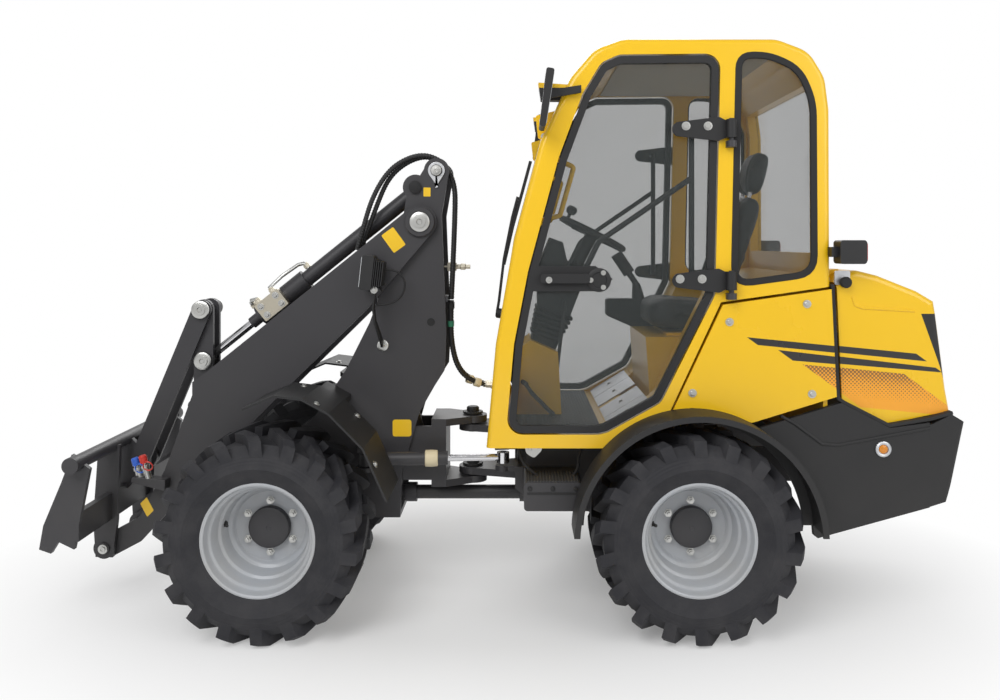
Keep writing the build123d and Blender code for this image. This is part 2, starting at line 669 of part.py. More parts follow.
# Doors: seal frame, tapered hinge arms, latch plate with handle, inner rail; glass set in the seal
DOOR_HINGE = (-884.0, 556.0)
HINGE_Z = (1345.0, 1925.0)
HINGE_H = 70.0
HINGE_PIN_R = 10.0
ARM_T = 14.0
GLASS_T = 6.0
GLASS_Y = CAB_Y - 12.0
RAIL_R = 11.0
RAIL_Y = CAB_Y - 44.0
HOOD_HINGE = (-1296.0, 1366.0)
LATCH = ((-108, 1304), (-130, 1401), (-369, 1401), (-435, 1351), (-378, 1304))
for name, side in (("left", 1), ("right", -1)):
    with BuildPart() as door_frame:
        with BuildSketch(Plane.XZ.offset(-side * CAB_Y)):
            rounded(DOOR, DOOR_BEND_R)
            offset(amount=-DOOR_GAP, kind=Kind.INTERSECTION, mode=Mode.REPLACE)
        extrude(amount=side * 30)
        with BuildSketch(Plane.XZ.offset(-side * (CAB_Y + 1))):
            rounded(DOOR, DOOR_BEND_R)
            offset(amount=-DOOR_GAP - DOOR_SEAL, kind=Kind.INTERSECTION, mode=Mode.REPLACE)
        extrude(amount=side * 40, mode=Mode.SUBTRACT)
        for hinge_z in HINGE_Z:
            with BuildSketch(Plane.XZ.offset(-side * CAB_Y)):
                Polygon(
                    (DOOR_HINGE[0], hinge_z - HINGE_H / 2),
                    (DOOR_HINGE[0], hinge_z + HINGE_H / 2),
                    (-862, hinge_z + HINGE_H / 2),
                    (-840, hinge_z + 46),
                    (-690, hinge_z + 28),
                    (-690, hinge_z - 28),
                    (-840, hinge_z - 46),
                    (-862, hinge_z - HINGE_H / 2),
                    align=None,
                )
                with Locations((-690, hinge_z)):
                    Circle(28)
            extrude(amount=-side * ARM_T)
            with BuildSketch(Plane.XY.offset(hinge_z - HINGE_H / 2)):
                with Locations((DOOR_HINGE[0], side * DOOR_HINGE[1])):
                    Circle(2 * HINGE_PIN_R)
            extrude(amount=HINGE_H)
            with BuildSketch(Plane.XY.offset(hinge_z - HINGE_H / 2 - 1)):
                with Locations((DOOR_HINGE[0], side * DOOR_HINGE[1])):
                    Circle(HINGE_PIN_R + RUN)
            extrude(amount=HINGE_H + 2, mode=Mode.SUBTRACT)
        with BuildSketch(Plane.XZ.offset(-side * (GLASS_Y + 1))):
            Polygon(*LATCH, align=None)
        extrude(amount=-side * 11)
        with BuildSketch(Plane.XZ.offset(-side * (GLASS_Y + 10))):
            rounded(((-157, 1336), (-157, 1372), (-346, 1372), (-346, 1336)), 12)
        extrude(amount=-side * 26)
        with BuildLine():
            rail = Polyline(
                (-745, side * RAIL_Y, HINGE_Z[0]), (-745, side * RAIL_Y, HINGE_Z[1])
            )
        with BuildSketch(Plane(origin=rail @ 0, z_dir=rail % 0)):
            Circle(RAIL_R)
        sweep(path=rail)
        with BuildLine():
            brace = FilletPolyline(
                (-745, side * RAIL_Y, 1741), (-385, side * RAIL_Y, 1495), (-325, side * RAIL_Y, 1372),
                radius=70,
            )
        with BuildSketch(Plane(origin=brace @ 0, z_dir=brace % 0)):
            Circle(RAIL_R)
        sweep(path=brace)
        with BuildSketch(Plane.XZ.offset(-side * RAIL_Y)):
            with Locations((-745, HINGE_Z[0]), (-745, HINGE_Z[1]), (-325, 1372)):
                Circle(RAIL_R + 3)
        extrude(amount=-side * (GLASS_Y - GLASS_T - RAIL_Y))
    save(door_frame.part, f"door_{name}_frame")

    with BuildPart() as door_glass:
        with BuildSketch(Plane.XZ.offset(-side * GLASS_Y)):
            rounded(DOOR, DOOR_BEND_R)
            offset(amount=-DOOR_GAP - DOOR_SEAL, kind=Kind.INTERSECTION, mode=Mode.REPLACE)
        extrude(amount=side * GLASS_T)
    save(door_glass.part, f"door_{name}_glass")

# Hinge blocks that carry the doors on the cab, and those of the hood
with BuildPart() as door_hinges:
    for side in (1, -1):
        for hinge_z in HINGE_Z:
            low_z = hinge_z - HINGE_H / 2
            with BuildSketch(Plane.XY.offset(low_z - 36)):
                with Locations((DOOR_HINGE[0], side * (CAB_Y + 16))):
                    Rectangle(34, 32)
                with Locations((DOOR_HINGE[0], side * DOOR_HINGE[1])):
                    Circle(2 * HINGE_PIN_R)
            extrude(amount=24)
            with BuildSketch(Plane.XY.offset(low_z - 36)):
                with Locations((DOOR_HINGE[0], side * DOOR_HINGE[1])):
                    Circle(HINGE_PIN_R)
            extrude(amount=HINGE_H + 40)
        with BuildSketch(Plane.XZ.offset(-side * 292)):
            Polygon(
                (-1271, 1330), (-1271, 1400), (HOOD_HINGE[0] - 14, 1380), (HOOD_HINGE[0] - 14, 1352),
                align=None,
            )
        extrude(amount=side * 16)
        with BuildSketch(Plane.XZ.offset(-side * 368)):
            with Locations(HOOD_HINGE):
                Circle(8)
        extrude(amount=side * 80)
save(door_hinges.part, "door_hinges")

# Fixed glass: quarter windows, windscreen, rear window
SCREEN = ((4, 1050), (-65, 1504), (-165, 1877), (-255, 2070))
BACK = ((-1260, 1450), (-1260, 2003), (-1246, 2110))
with BuildPart() as cab_glass:
    for side in (1, -1):
        with BuildSketch(Plane.XZ.offset(-side * GLASS_Y)):
            rounded(QUARTER, DOOR_BEND_R)
        extrude(amount=side * GLASS_T)
    for line, half_width in ((SCREEN, CAB_Y - 75), (BACK, CAB_Y - 85)):
        with BuildSketch(Plane.XZ.offset(-half_width)):
            Polygon(*line, *[(x + GLASS_T, z) for x, z in reversed(line)], align=None)
        extrude(amount=2 * half_width)
save(cab_glass.part, "cab_glass")

# Seat with headrest, its base, consoles and steering
with BuildPart() as seat:
    with BuildSketch(Plane.XZ.offset(-215)):
        rounded(((-612, 1110), (-604, 1250), (-960, 1225), (-972, 1110)), 40)
    extrude(amount=430)
    with BuildSketch(Plane.XZ.offset(-210)):
        rounded(((-925, 1180), (-850, 1240), (-1000, 1715), (-1080, 1700), (-965, 1400), (-965, 1180)), 16)
    extrude(amount=420)
    with BuildSketch(Plane.XZ.offset(-120)):
        rounded(((-1012, 1690), (-1055, 1900), (-1125, 1885), (-1075, 1680)), 24)
    extrude(amount=240)
save(seat.part, "seat")

with BuildPart() as seat_base:
    with BuildSketch(Plane.XZ.offset(-260)):
        Polygon((-620, 812), (-600, 1100), (-920, 1100), (-920, 812), align=None)
    extrude(amount=520)
    with BuildSketch(Plane.XZ.offset(-180)):
        Polygon((-700, 1100), (-700, 1110), (-880, 1110), (-880, 1100), align=None)
    extrude(amount=360)
save(seat_base.part, "seat_base")

# Control console on the right of the seat, with the joystick
CONSOLE_W = 66.0
STICK_Y = CONSOLE_W / 2 - WELL_Y
with BuildPart() as console:
    with BuildSketch(Plane.XZ.offset(WELL_Y - CONSOLE_W)):
        rounded(((-486, 1150), (-486, 1228), (-770, 1228), (-770, 1100), (-600, 1100)), 16)
    extrude(amount=CONSOLE_W)
    with BuildSketch(Plane.XY.offset(1228)):
        with Locations((-640, STICK_Y)):
            Circle(30)
    with BuildSketch(Plane.XY.offset(1300)):
        with Locations((-630, STICK_Y)):
            Circle(18)
    loft()
    stick = Plane(origin=(-630, STICK_Y, 1296), x_dir=(0, 1, 0), z_dir=(0.55, 0, 0.83))
    with BuildSketch(stick):
        Circle(14)
    extrude(amount=70)
    with BuildSketch(stick.offset(60)):
        Ellipse(22, 28)
    extrude(amount=110)
save(console.part, "console")

# Front console under the steering column
with BuildPart() as front_console:
    with BuildSketch(Plane.XZ.offset(-150)):
        Polygon((-50, 754), (-68, 1033), (-124, 1075), (-243, 1024), (-258, 754), align=None)
    extrude(amount=300)
save(front_console.part, "front_console")

# Steering column: shroud, instrument pod, shaft and wheel
WHEEL_R = 150.0
WHEEL_GRIP_R = 13.0
wheel_plane = Plane(origin=(-402, 0, 1530), x_dir=(0, 1, 0), z_dir=(-0.454, 0, 0.891))
with BuildPart() as steering_column:
    with BuildSketch(Plane.XZ.offset(-80)):
        Polygon(
            (-130, 1072.5), (-236, 1027), (-300, 1174), (-345, 1290), (-300, 1350), (-268, 1492),
            (-212, 1512), (-165, 1400), (-156, 1290), (-160, 1174),
            align=None,
        )
    extrude(amount=160)
    with BuildSketch(wheel_plane.offset(-230)):
        Circle(28)
    extrude(amount=220)
    with BuildSketch(wheel_plane.offset(-16)):
        Circle(46)
        for turn in (90, 210, 330):
            with PolarLocations(WHEEL_R / 2, 1, start_angle=turn):
                Rectangle(WHEEL_R, 34)
    extrude(amount=16)
    with Locations(wheel_plane):
        Torus(WHEEL_R, WHEEL_GRIP_R)
save(steering_column.part, "steering_column")

# Grab handles on the inner faces of the front posts
GRAB_R = 10.0
GRAB_Y = CAB_Y - CAB_WALL - 30.0
with BuildPart() as grab_handles:
    for side in (1, -1):
        with BuildLine():
            grip = FilletPolyline(
                (-218, side * (CAB_Y - CAB_WALL), 1820),
                (-218, side * GRAB_Y, 1820),
                (-290, side * GRAB_Y, 1786),
                (-236, side * GRAB_Y, 1596),
                (-150, side * GRAB_Y, 1574),
                (-150, side * (CAB_Y - CAB_WALL), 1574),
                radius=13,
            )
        with BuildSketch(Plane(origin=grip @ 0, z_dir=grip % 0)):
            Circle(GRAB_R)
        sweep(path=grip)
save(grab_handles.part, "grab_handles")

# Mirrors on arms at the front posts
with BuildPart() as mirrors:
    for side in (1, -1):
        with BuildSketch(Plane.XZ.offset(-side * (CAB_Y + 150))):
            rounded(((-172, 1915), (-150, 1920), (-176, 2135), (-206, 2130)), 8)
        extrude(amount=side * 142)
        with BuildSketch(Plane.XZ.offset(-side * (CAB_Y + 30))):
            Polygon((-190, 2040), (-184, 2070), (-312, 2090), (-312, 2062), align=None)
        extrude(amount=side * 16)
        with BuildSketch(Plane.XZ.offset(-side * (CAB_Y + 30))):
            with Locations((-299, 2075)):
                Circle(13)
        extrude(amount=side * 30)
save(mirrors.part, "mirrors")

# Rear body: side panels, skirts with counterweight, fenders, hood
with BuildPart() as side_panels:
    for side in (1, -1):
        with BuildSketch(Plane.XZ.offset(-side * BODY_Y)):
            Polygon(
                (-858, 1252), (-1276, 1312), (-1296, 900), (-970, 800), (-740, 858), (-662, 838),
                align=None,
            )
        extrude(amount=side * 24)
    with BuildSketch(Plane.YZ.offset(-1250)):
        with Locations((0, 945)):
            Rectangle(2 * BODY_Y - 48, 610)
    extrude(amount=-16)
    add(rear_arches.part, mode=Mode.SUBTRACT)
save(side_panels.part, "side_panels")

with BuildPart() as counterweight:
    for side in (1, -1):
        with BuildSketch(Plane.XZ.offset(-side * BODY_Y)):
            Polygon(
                (-1312, 876), (-1498, 780), (-1650, 800), (-1650, 475), (-1221, 357), (-1206, 368),
                (-1190, 560), (-1000, 780),
                align=None,
            )
        extrude(amount=side * 24)
    with BuildSketch(Plane.XZ.offset(-BODY_Y)):
        Polygon(
            (-1662, 795), (-1735, 832), (-1786, 801), (-1742, 590), (-1712, 497), (-1640, 474),
            (-1640, 790),
            align=None,
        )
    extrude(amount=2 * BODY_Y)
    fillet(counterweight.edges().filter_by(Plane.XZ).group_by(Axis.X)[0], 16)
    with BuildSketch(Plane.XY.offset(640)):
        with Locations((-1200, 0)):
            Rectangle(40, 2 * BODY_Y - 20)
    extrude(amount=40)
    add(rear_arches.part, mode=Mode.SUBTRACT)
save(counterweight.part, "counterweight")

FENDER_Y = 700.0
with BuildPart() as rear_fenders:
    for side in (1, -1):
        for outer_y, depth, flange in (
            (FENDER_Y, FENDER_Y - BODY_Y, 0),
            (FENDER_Y, 10, 14),
            (BODY_Y + 10, 10, 38),
        ):
            with BuildSketch(Plane.XZ.offset(-side * outer_y)):
                with Locations((REAR_AXLE_X, AXLE_Z)):
                    Circle(TYRE_R + FENDER_ROOM + FENDER_T)
                    Circle(TYRE_R + FENDER_ROOM - flange, mode=Mode.SUBTRACT)
                with Locations((REAR_AXLE_X, AXLE_Z - 2 * TYRE_R + 20)):
                    Rectangle(4 * TYRE_R, 4 * TYRE_R, mode=Mode.SUBTRACT)
            extrude(amount=side * depth)
save(rear_fenders.part, "rear_fenders")

GRILLE_IN = 40.0
GRILLE_SLOTS = 8
HOOD = (
    (-1302, 1336), (-1361, 1389), (-1464, 1363), (-1617, 1302), (-1682, 1263), (-1690, 1215),
    (-1728, 923), (-1743, 842), (-1498, 792), (-1322, 884),
)
HOOD_EDGE_R = 24.0
HOOD_BEND_R = 60.0
with BuildPart() as hood:
    with BuildSketch(Plane.XZ.offset(-HOOD_Y)):
        rounded(HOOD, HOOD_BEND_R, above=1345)
    extrude(amount=2 * HOOD_Y)
    for side in (0, -1):
        rim_edges = hood.faces().sort_by(Axis.Y)[side].edges()
        top_edges = [edge for edge in rim_edges if edge.center().Z > 1000 and edge.center().X < -1330]
        fillet(top_edges, HOOD_EDGE_R)
    with BuildSketch(Plane.XZ.offset(-HOOD_Y + HOOD_T)):
        Polygon(
            (-1280, 1322), (-1361, 1373), (-1460, 1350), (-1611, 1291), (-1670, 1255), (-1678, 1213),
            (-1716, 923), (-1732, 780), (-1280, 780),
            align=None,
        )
    extrude(amount=2 * (HOOD_Y - HOOD_T), mode=Mode.SUBTRACT)
    with BuildSketch(Plane.XZ.offset(-HOOD_Y + GRILLE_IN)):
        Polygon((-1660, 1205), (-1780, 1205), (-1780, 930), (-1660, 930), align=None)
    extrude(amount=2 * (HOOD_Y - GRILLE_IN), mode=Mode.SUBTRACT)
    for side in (1, -1):
        with BuildSketch(Plane.XZ.offset(-side * 366)):
            Polygon((-1296, 1382), (-1361, 1385), (-1325, 1345), (-1296, 1350), align=None)
            with Locations(HOOD_HINGE):
                Circle(16)
            with Locations(HOOD_HINGE):
                Circle(8 + RUN, mode=Mode.SUBTRACT)
        extrude(amount=side * 68)
save(hood.part, "hood")

with BuildPart() as hood_grille:
    with BuildSketch(Plane.XZ.offset(-HOOD_Y + GRILLE_IN)):
        Polygon((-1691, 1205), (-1727, 930), (-1716, 930), (-1680, 1205), align=None)
    extrude(amount=2 * (HOOD_Y - GRILLE_IN))
    for row in range(GRILLE_SLOTS):
        with BuildSketch(Plane.YZ.offset(-1640)):
            with Locations((0, 930 + 275 / GRILLE_SLOTS * (row + 0.5))):
                for offset_y in (-300, 0, 300):
                    with Locations((offset_y, 0)):
                        Rectangle(250, 275 / GRILLE_SLOTS - 14)
        extrude(amount=-140, mode=Mode.SUBTRACT)
save(hood_grille.part, "hood_grille")

# Steering cylinder between the tower and the rear frame, on the left
steer_plane = Plane(
    origin=(STEER_BASE[0], STEER_BASE[1], STEER_Z),
    x_dir=(0, 0, 1),
    z_dir=(STEER_EYE[0] - STEER_BASE[0], STEER_EYE[1] - STEER_BASE[1], 0),
)
STEER_L = span(STEER_BASE, STEER_EYE)
with BuildPart() as steer_barrel:
    with BuildSketch(steer_plane.offset(20)):
        Circle(28)
    extrude(amount=320)
    with BuildSketch(steer_plane.offset(60)):
        Circle(20)
    extrude(amount=260, mode=Mode.SUBTRACT)
    with BuildSketch(steer_plane.offset(310)):
        Circle(14 + RUN)
    extrude(amount=40, mode=Mode.SUBTRACT)
    with BuildSketch(Plane.XY.offset(STEER_Z - 24)):
        with Locations(STEER_BASE):
            Circle(28)
            Circle(14 + RUN, mode=Mode.SUBTRACT)
    extrude(amount=48)
    with BuildSketch(Plane.XY.offset(STEER_Z - 24)):
        with Locations(STEER_BASE):
            Circle(14 + RUN)
    extrude(amount=48, mode=Mode.SUBTRACT)
save(steer_barrel.part, "steer_barrel")

with BuildPart() as steer_rod:
    with BuildSketch(steer_plane.offset(250)):
        Circle(14)
    extrude(amount=STEER_L - 250 - 10)
    with BuildSketch(Plane.XY.offset(STEER_Z - 22)):
        with Locations(STEER_EYE):
            Circle(26)
            Circle(13, mode=Mode.SUBTRACT)
    extrude(amount=44)
    with BuildSketch(Plane.XY.offset(STEER_Z - 22)):
        with Locations(STEER_EYE):
            Circle(13)
    extrude(amount=44, mode=Mode.SUBTRACT)
save(steer_rod.part, "steer_rod")

# Drive shaft with a yoke at each end
with BuildPart() as drive_shaft:
    with BuildSketch(Plane.YZ.offset(SHAFT_REAR_X)):
        with Locations((0, AXLE_Z)):
            Circle(30)
    extrude(amount=SHAFT_FRONT_X + 26 - SHAFT_REAR_X)
    with BuildSketch(Plane.XY.offset(AXLE_Z - 40)):
        with Locations((SHAFT_FRONT_X, 0)):
            Circle(12 + RUN)
    extrude(amount=80, mode=Mode.SUBTRACT)
    for yoke_x in (SHAFT_REAR_X, 372):
        with BuildSketch(Plane.YZ.offset(yoke_x)):
            with Locations((0, AXLE_Z)):
                Circle(42)
        extrude(amount=50)
save(drive_shaft.part, "drive_shaft")

# Work lights on bent arms at the tower
with BuildPart() as work_lights:
    for side in (1, -1):
        with BuildSketch(Plane.XZ.offset(-side * 252)):
            with Locations((515, 1075)):
                Rectangle(40, 30)
        extrude(amount=side * (252 - TOWER_Y))
        with BuildSketch(Plane.XZ.offset(-side * 252)):
            with Locations((515, 1190)):
                Rectangle(40, 260)
        extrude(amount=side * 10)
        with BuildSketch(Plane.XZ.offset(-side * 300)):
            Polygon((470, 1290), (560, 1300), (585, 1430), (495, 1440), align=None)
        extrude(amount=side * 100)
save(work_lights.part, "work_lights")

# Lamps at the back corners of the cab, clear of the hood, and one under each mirror
with BuildPart() as cab_lamps:
    for side in (1, -1):
        with BuildSketch(Plane.XZ.offset(-side * (CAB_Y - 60))):
            Polygon((-1260, 1436), (-1290, 1436), (-1290, 1474), (-1260, 1474), align=None)
        extrude(amount=-side * 100)
        with BuildSketch(Plane.XZ.offset(-side * (CAB_Y - 10))):
            rounded(((-1284, 1410), (-1284, 1500), (-1385, 1500), (-1385, 1410)), 12)
        extrude(amount=-side * 76)
        with BuildSketch(Plane.XZ.offset(-side * (CAB_Y - 70))):
            Polygon((-270, 2100), (-150, 2108), (-160, 2040), (-245, 2040), align=None)
        extrude(amount=-side * 50)
    add(cab_frame.part, mode=Mode.SUBTRACT)
save(cab_lamps.part, "cab_lamps")

# Hoses: from the boom over the tower, then from the tower towards the cab
HOSE_R = 11.0
HOSE_LOOPS = (
    (92, (
        (622, 1458), (594, 1562), (555, 1690), (486, 1804), (402, 1858), (322, 1872), (246, 1836),
        (203, 1752), (197, 1640), (216, 1243),
    )),
    (63, (
        (608, 1466), (532, 1684), (480, 1785), (402, 1846), (322, 1868), (246, 1836),
        (203, 1752), (197, 1640), (216, 1243),
    )),
)
HOSE_TAIL = (
    (216, 0, 1240), (219, 0, 1140), (213, -2, 1040), (190, -14, 950), (140, -44, 890), (70, -70, 866),
)
HOSE_ROUTES = {
    "boom_hoses": [[(x, y, z) for x, z in loop] for y, loop in HOSE_LOOPS],
    "cab_hoses": [[(x, y + shift, z) for x, shift, z in HOSE_TAIL] for y, loop in HOSE_LOOPS],
}


def hose_radii(points):
    """Bend radii as large as the runs beside each corner allow."""
    route = [Vector(x, y, z) for x, y, z in points]
    radii = []
    for before, corner, after in zip(route, route[1:], route[2:]):
        run_in, run_out = corner - before, after - corner
        turn = radians(run_in.get_angle(run_out))
        radii.append(0.45 * min(run_in.length, run_out.length) / tan(turn / 2))
    print("hose radii", [round(radius) for radius in radii])
    return radii


for name, routes in HOSE_ROUTES.items():
    with BuildPart() as hoses:
        for points in routes:
            with BuildLine():
                route = FilletPolyline(*points, radius=hose_radii(points))
            with BuildSketch(Plane(origin=route @ 0, z_dir=route % 0)):
                Circle(HOSE_R)
            sweep(path=route)
    save(hoses.part, name)
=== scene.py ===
# %% [markdown]
# A compact articulated loader: the imported solids carry the shape, and this lesson
# dresses them.  First the frame is loaded.

# %% Load the frame
import json
import math

import bmesh
import bpy
import numpy as np
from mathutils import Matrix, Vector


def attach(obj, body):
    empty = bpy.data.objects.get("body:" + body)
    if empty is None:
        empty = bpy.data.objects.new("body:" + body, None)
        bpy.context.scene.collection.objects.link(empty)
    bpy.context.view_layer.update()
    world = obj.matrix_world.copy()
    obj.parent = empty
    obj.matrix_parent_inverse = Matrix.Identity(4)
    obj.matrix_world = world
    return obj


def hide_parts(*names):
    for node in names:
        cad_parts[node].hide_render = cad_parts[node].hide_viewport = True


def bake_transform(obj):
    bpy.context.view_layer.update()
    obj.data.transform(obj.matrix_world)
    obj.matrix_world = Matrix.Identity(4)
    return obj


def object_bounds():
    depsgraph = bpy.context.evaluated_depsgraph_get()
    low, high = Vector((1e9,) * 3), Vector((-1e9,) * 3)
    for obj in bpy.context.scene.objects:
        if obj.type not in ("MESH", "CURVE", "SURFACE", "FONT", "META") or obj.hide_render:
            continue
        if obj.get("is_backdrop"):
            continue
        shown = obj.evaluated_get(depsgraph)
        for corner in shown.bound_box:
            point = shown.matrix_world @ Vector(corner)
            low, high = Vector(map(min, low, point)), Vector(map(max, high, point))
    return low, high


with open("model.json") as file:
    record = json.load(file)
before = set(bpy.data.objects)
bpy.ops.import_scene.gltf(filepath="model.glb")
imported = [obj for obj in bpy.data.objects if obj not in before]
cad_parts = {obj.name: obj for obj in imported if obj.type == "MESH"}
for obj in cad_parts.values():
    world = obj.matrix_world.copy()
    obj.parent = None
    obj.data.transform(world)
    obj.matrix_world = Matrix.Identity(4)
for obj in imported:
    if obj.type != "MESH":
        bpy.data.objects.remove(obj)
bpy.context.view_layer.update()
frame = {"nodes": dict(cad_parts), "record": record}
NODES = frame["nodes"]

# %% [markdown]
# The photograph was taken from the machine's left with the lens square to its side,
# so the camera is not turned; a lens shift puts the vanishing point off the middle.

# %% Camera
scene = bpy.context.scene
scene.view_settings.view_transform = "Standard"
FRAME_W, FRAME_H = 1000, 700
FOCAL_PX = 900.0
VANISH_PX = (515.0, 242.0)
EYE = (-0.06, 3.98, 1.493)

camera_data = bpy.data.cameras.new("photo_camera")
camera_data.sensor_width = 36.0
camera_data.lens = 36.0 * FOCAL_PX / FRAME_W
camera_data.shift_x = (FRAME_W / 2 - VANISH_PX[0]) / FRAME_W
camera_data.shift_y = (VANISH_PX[1] - FRAME_H / 2) / FRAME_W
camera = bpy.data.objects.new("photo_camera", camera_data)
camera.location = EYE
camera.rotation_euler = (math.pi / 2, 0.0, math.pi)
scene.collection.objects.link(camera)
scene.camera = camera

print("camera at", EYE, "lens", round(camera_data.lens, 2))

# %% [markdown]
# Materials are written as expressions: a Value stands for a socket, and each operator adds one
# Math node.  A Net holds one material's nodes.

# %% Shader expressions


def math_method(operation, reflected=False):
    """An operator of Value that adds a Math node, with its operands in their written order."""
    def method(self, other):
        return self._math(operation, *((other, self) if reflected else (self, other)))
    return method


class Value:
    """A shader socket that takes part in Python expressions: each operator adds a Math node."""

    def __init__(self, net, socket):
        self.net, self.socket = net, socket

    def _math(self, operation, *others):
        return self.net.node(
            "ShaderNodeMath", {"operation": operation}, **{str(i): v for i, v in enumerate(others)})

    __add__, __radd__ = math_method("ADD"), math_method("ADD", True)
    __sub__, __rsub__ = math_method("SUBTRACT"), math_method("SUBTRACT", True)
    __mul__, __rmul__ = math_method("MULTIPLY"), math_method("MULTIPLY", True)
    __truediv__ = math_method("DIVIDE")
    __gt__, __lt__ = math_method("GREATER_THAN"), math_method("LESS_THAN")

    def __abs__(self):
        return self._math("ABSOLUTE", self)

    def wave(self):
        return self._math("SINE", self)

    def root(self):
        return self._math("SQRT", self)

    def clamp(self, low=0.0, high=1.0):
        return self.net.node("ShaderNodeClamp", {}, **{"0": self, "1": low, "2": high})


class Net:
    """One material's nodes.  node() is the only way in: type, settings, then sockets."""

    def __init__(self, name):
        self.material = bpy.data.materials.new(name)
        self.material.use_nodes = True
        self.tree = self.material.node_tree
        self.tree.nodes.clear()

    def node(self, kind, settings, out=0, **sockets):
        made = self.tree.nodes.new(kind)
        for key, value in settings.items():
            if key == "ramp":
                for stop, (place, colour) in zip(made.color_ramp.elements, value):
                    stop.position, stop.color = place, colour
            else:
                setattr(made, key, value)
        for key, value in sockets.items():
            socket = made.inputs[int(key)] if key.isdigit() else made.inputs[key.replace("_", " ")]
            if isinstance(value, Value):
                self.tree.links.new(value.socket, socket)
            else:
                socket.default_value = value
        return Value(self, made.outputs[out])

    def place(self):
        return self.node("ShaderNodeTexCoord", {}, out=3)

    def split(self, vector):
        made = self.tree.nodes.new("ShaderNodeSeparateXYZ")
        self.tree.links.new(vector.socket, made.inputs[0])
        return [Value(self, s) for s in made.outputs]

    def noise(self, scale, detail, rough, vector):
        return self.node("ShaderNodeTexNoise", {}, Vector=vector, Scale=scale, Detail=detail, Roughness=rough)

    def mix(self, share, first, second):
        return self.node("ShaderNodeMix", {"data_type": "RGBA"}, out=2, **{"0": share, "6": first, "7": second})

    def bump(self, height, strength, distance):
        return self.node("ShaderNodeBump", {}, Height=height, Strength=strength, Distance=distance)

    def surface(self, **sockets):
        shader = self.node("ShaderNodeBsdfPrincipled", {}, **sockets)
        end = self.tree.nodes.new("ShaderNodeOutputMaterial")
        self.tree.links.new(shader.socket, end.inputs[0])
        return self.material


def started(name):
    """A material's nodes and its Object coordinates."""
    net = Net(name)
    return net, net.place()


def rgba(r, g, b):
    return (r, g, b, 1.0)


print("shader expressions ready")

# %% [markdown]
# The stage is a floor that turns up behind the machine.  It is white to the camera, apart from
# a matte patch under the machine that keeps its shadow.

# %% Floor and light


def pale_floor():
    """White to the camera, plain grey for bounced light; the matte share keeps the shadow."""
    net = Net("pale_floor")
    camera_ray = net.node("ShaderNodeLightPath", {}, out=0)
    glossy_ray = net.node("ShaderNodeLightPath", {}, out=3)
    clear_ray = net.node("ShaderNodeLightPath", {}, out=6)
    show = (camera_ray + glossy_ray + clear_ray).clamp()
    x, y, z = net.split(net.place())
    under = (1.25 - (x * x / 5.0 + (y + 0.1) * (y + 0.1) / 2.2)).clamp() * (z < 0.5)
    matte = net.node("ShaderNodeBsdfDiffuse", {}, Color=rgba(0.88, 0.88, 0.88))
    glow = net.node("ShaderNodeEmission", {}, Color=rgba(1, 1, 1), Strength=1.0)
    blend = net.node("ShaderNodeMixShader", {}, **{"0": show * (1.0 - under * 0.8), "1": matte, "2": glow})
    end = net.tree.nodes.new("ShaderNodeOutputMaterial")
    net.tree.links.new(blend.socket, end.inputs[0])
    return net.material


def stage_floor():
    """A floor that turns up behind the machine: y and z as functions of one run length."""
    count, level = 40, 0.6
    run = np.linspace(0.0, 1.0, count)
    curl = (run - level) / (1.0 - level) * np.pi / 2
    y = np.where(run < level, 9.0 - run / level * 16.0, -7.0 - np.sin(curl) * 3.0)
    z = np.where(run < level, 0.0, (1.0 - np.cos(curl)) * 9.0)
    points = np.stack([np.repeat((-16.0, 16.0), count), np.tile(y, 2), np.tile(z, 2) - 0.001], 1)
    faces = [(i, i + 1, count + 1 + i, count + i) for i in range(count - 1)]
    mesh = bpy.data.meshes.new("floor")
    mesh.from_pydata(points.tolist(), [], faces)
    mesh.polygons.foreach_set("use_smooth", [True] * len(mesh.polygons))
    floor = bpy.data.objects.new("floor", mesh)
    scene.collection.objects.link(floor)
    mesh.materials.append(pale_floor())
    floor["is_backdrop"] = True


def lamp(name, place, size, power, aim):
    data = bpy.data.lights.new(name, "AREA")
    data.size, data.energy = size, power
    made = bpy.data.objects.new(name, data)
    made.location = place
    way = np.array(aim) - np.array(place)
    made.rotation_euler = (
        math.atan2(math.hypot(way[0], way[1]), -way[2]), 0.0, math.atan2(way[0], -way[1]) + math.pi)
    scene.collection.objects.link(made)


stage_floor()
world = bpy.data.worlds.new("studio")
world.use_nodes = True
WORLD_LIGHT = 0.46
sky = world.node_tree.nodes
sky["Background"].inputs[0].default_value = rgba(1, 1, 1)
rays = sky.new("ShaderNodeLightPath")
strength = sky.new("ShaderNodeMapRange")
strength.inputs["To Min"].default_value = WORLD_LIGHT
strength.inputs["To Max"].default_value = 1.0
world.node_tree.links.new(rays.outputs["Is Camera Ray"], strength.inputs["Value"])
world.node_tree.links.new(strength.outputs["Result"], sky["Background"].inputs[1])
scene.world = world
lamp("key", (2.5, 5.5, 5.5), 4.0, 260, (0, 0, 0.8))
lamp("fill", (-4.5, 4.5, 3.5), 4.0, 120, (0, 0, 0.9))
lamp("back", (0.0, -5.0, 5.0), 4.0, 170, (0, 0, 1.0))
print("floor, world and", len(bpy.data.lights), "lamps")

# %% [markdown]
# Paint first.  Real paint has an orange-peel skin, slow changes of tone and a little dust low
# down.  All of it comes from Object coordinates, so it stays put on every view.

# %% Paint and plastic


def toned(net, at, colour):
    """A colour that a slow noise darkens by up to a twentieth."""
    tone = net.noise(1.3, 2.0, 0.5, at)
    return net.mix((tone * 0.5).clamp(), rgba(*colour), rgba(*[c * 0.9 for c in colour]))


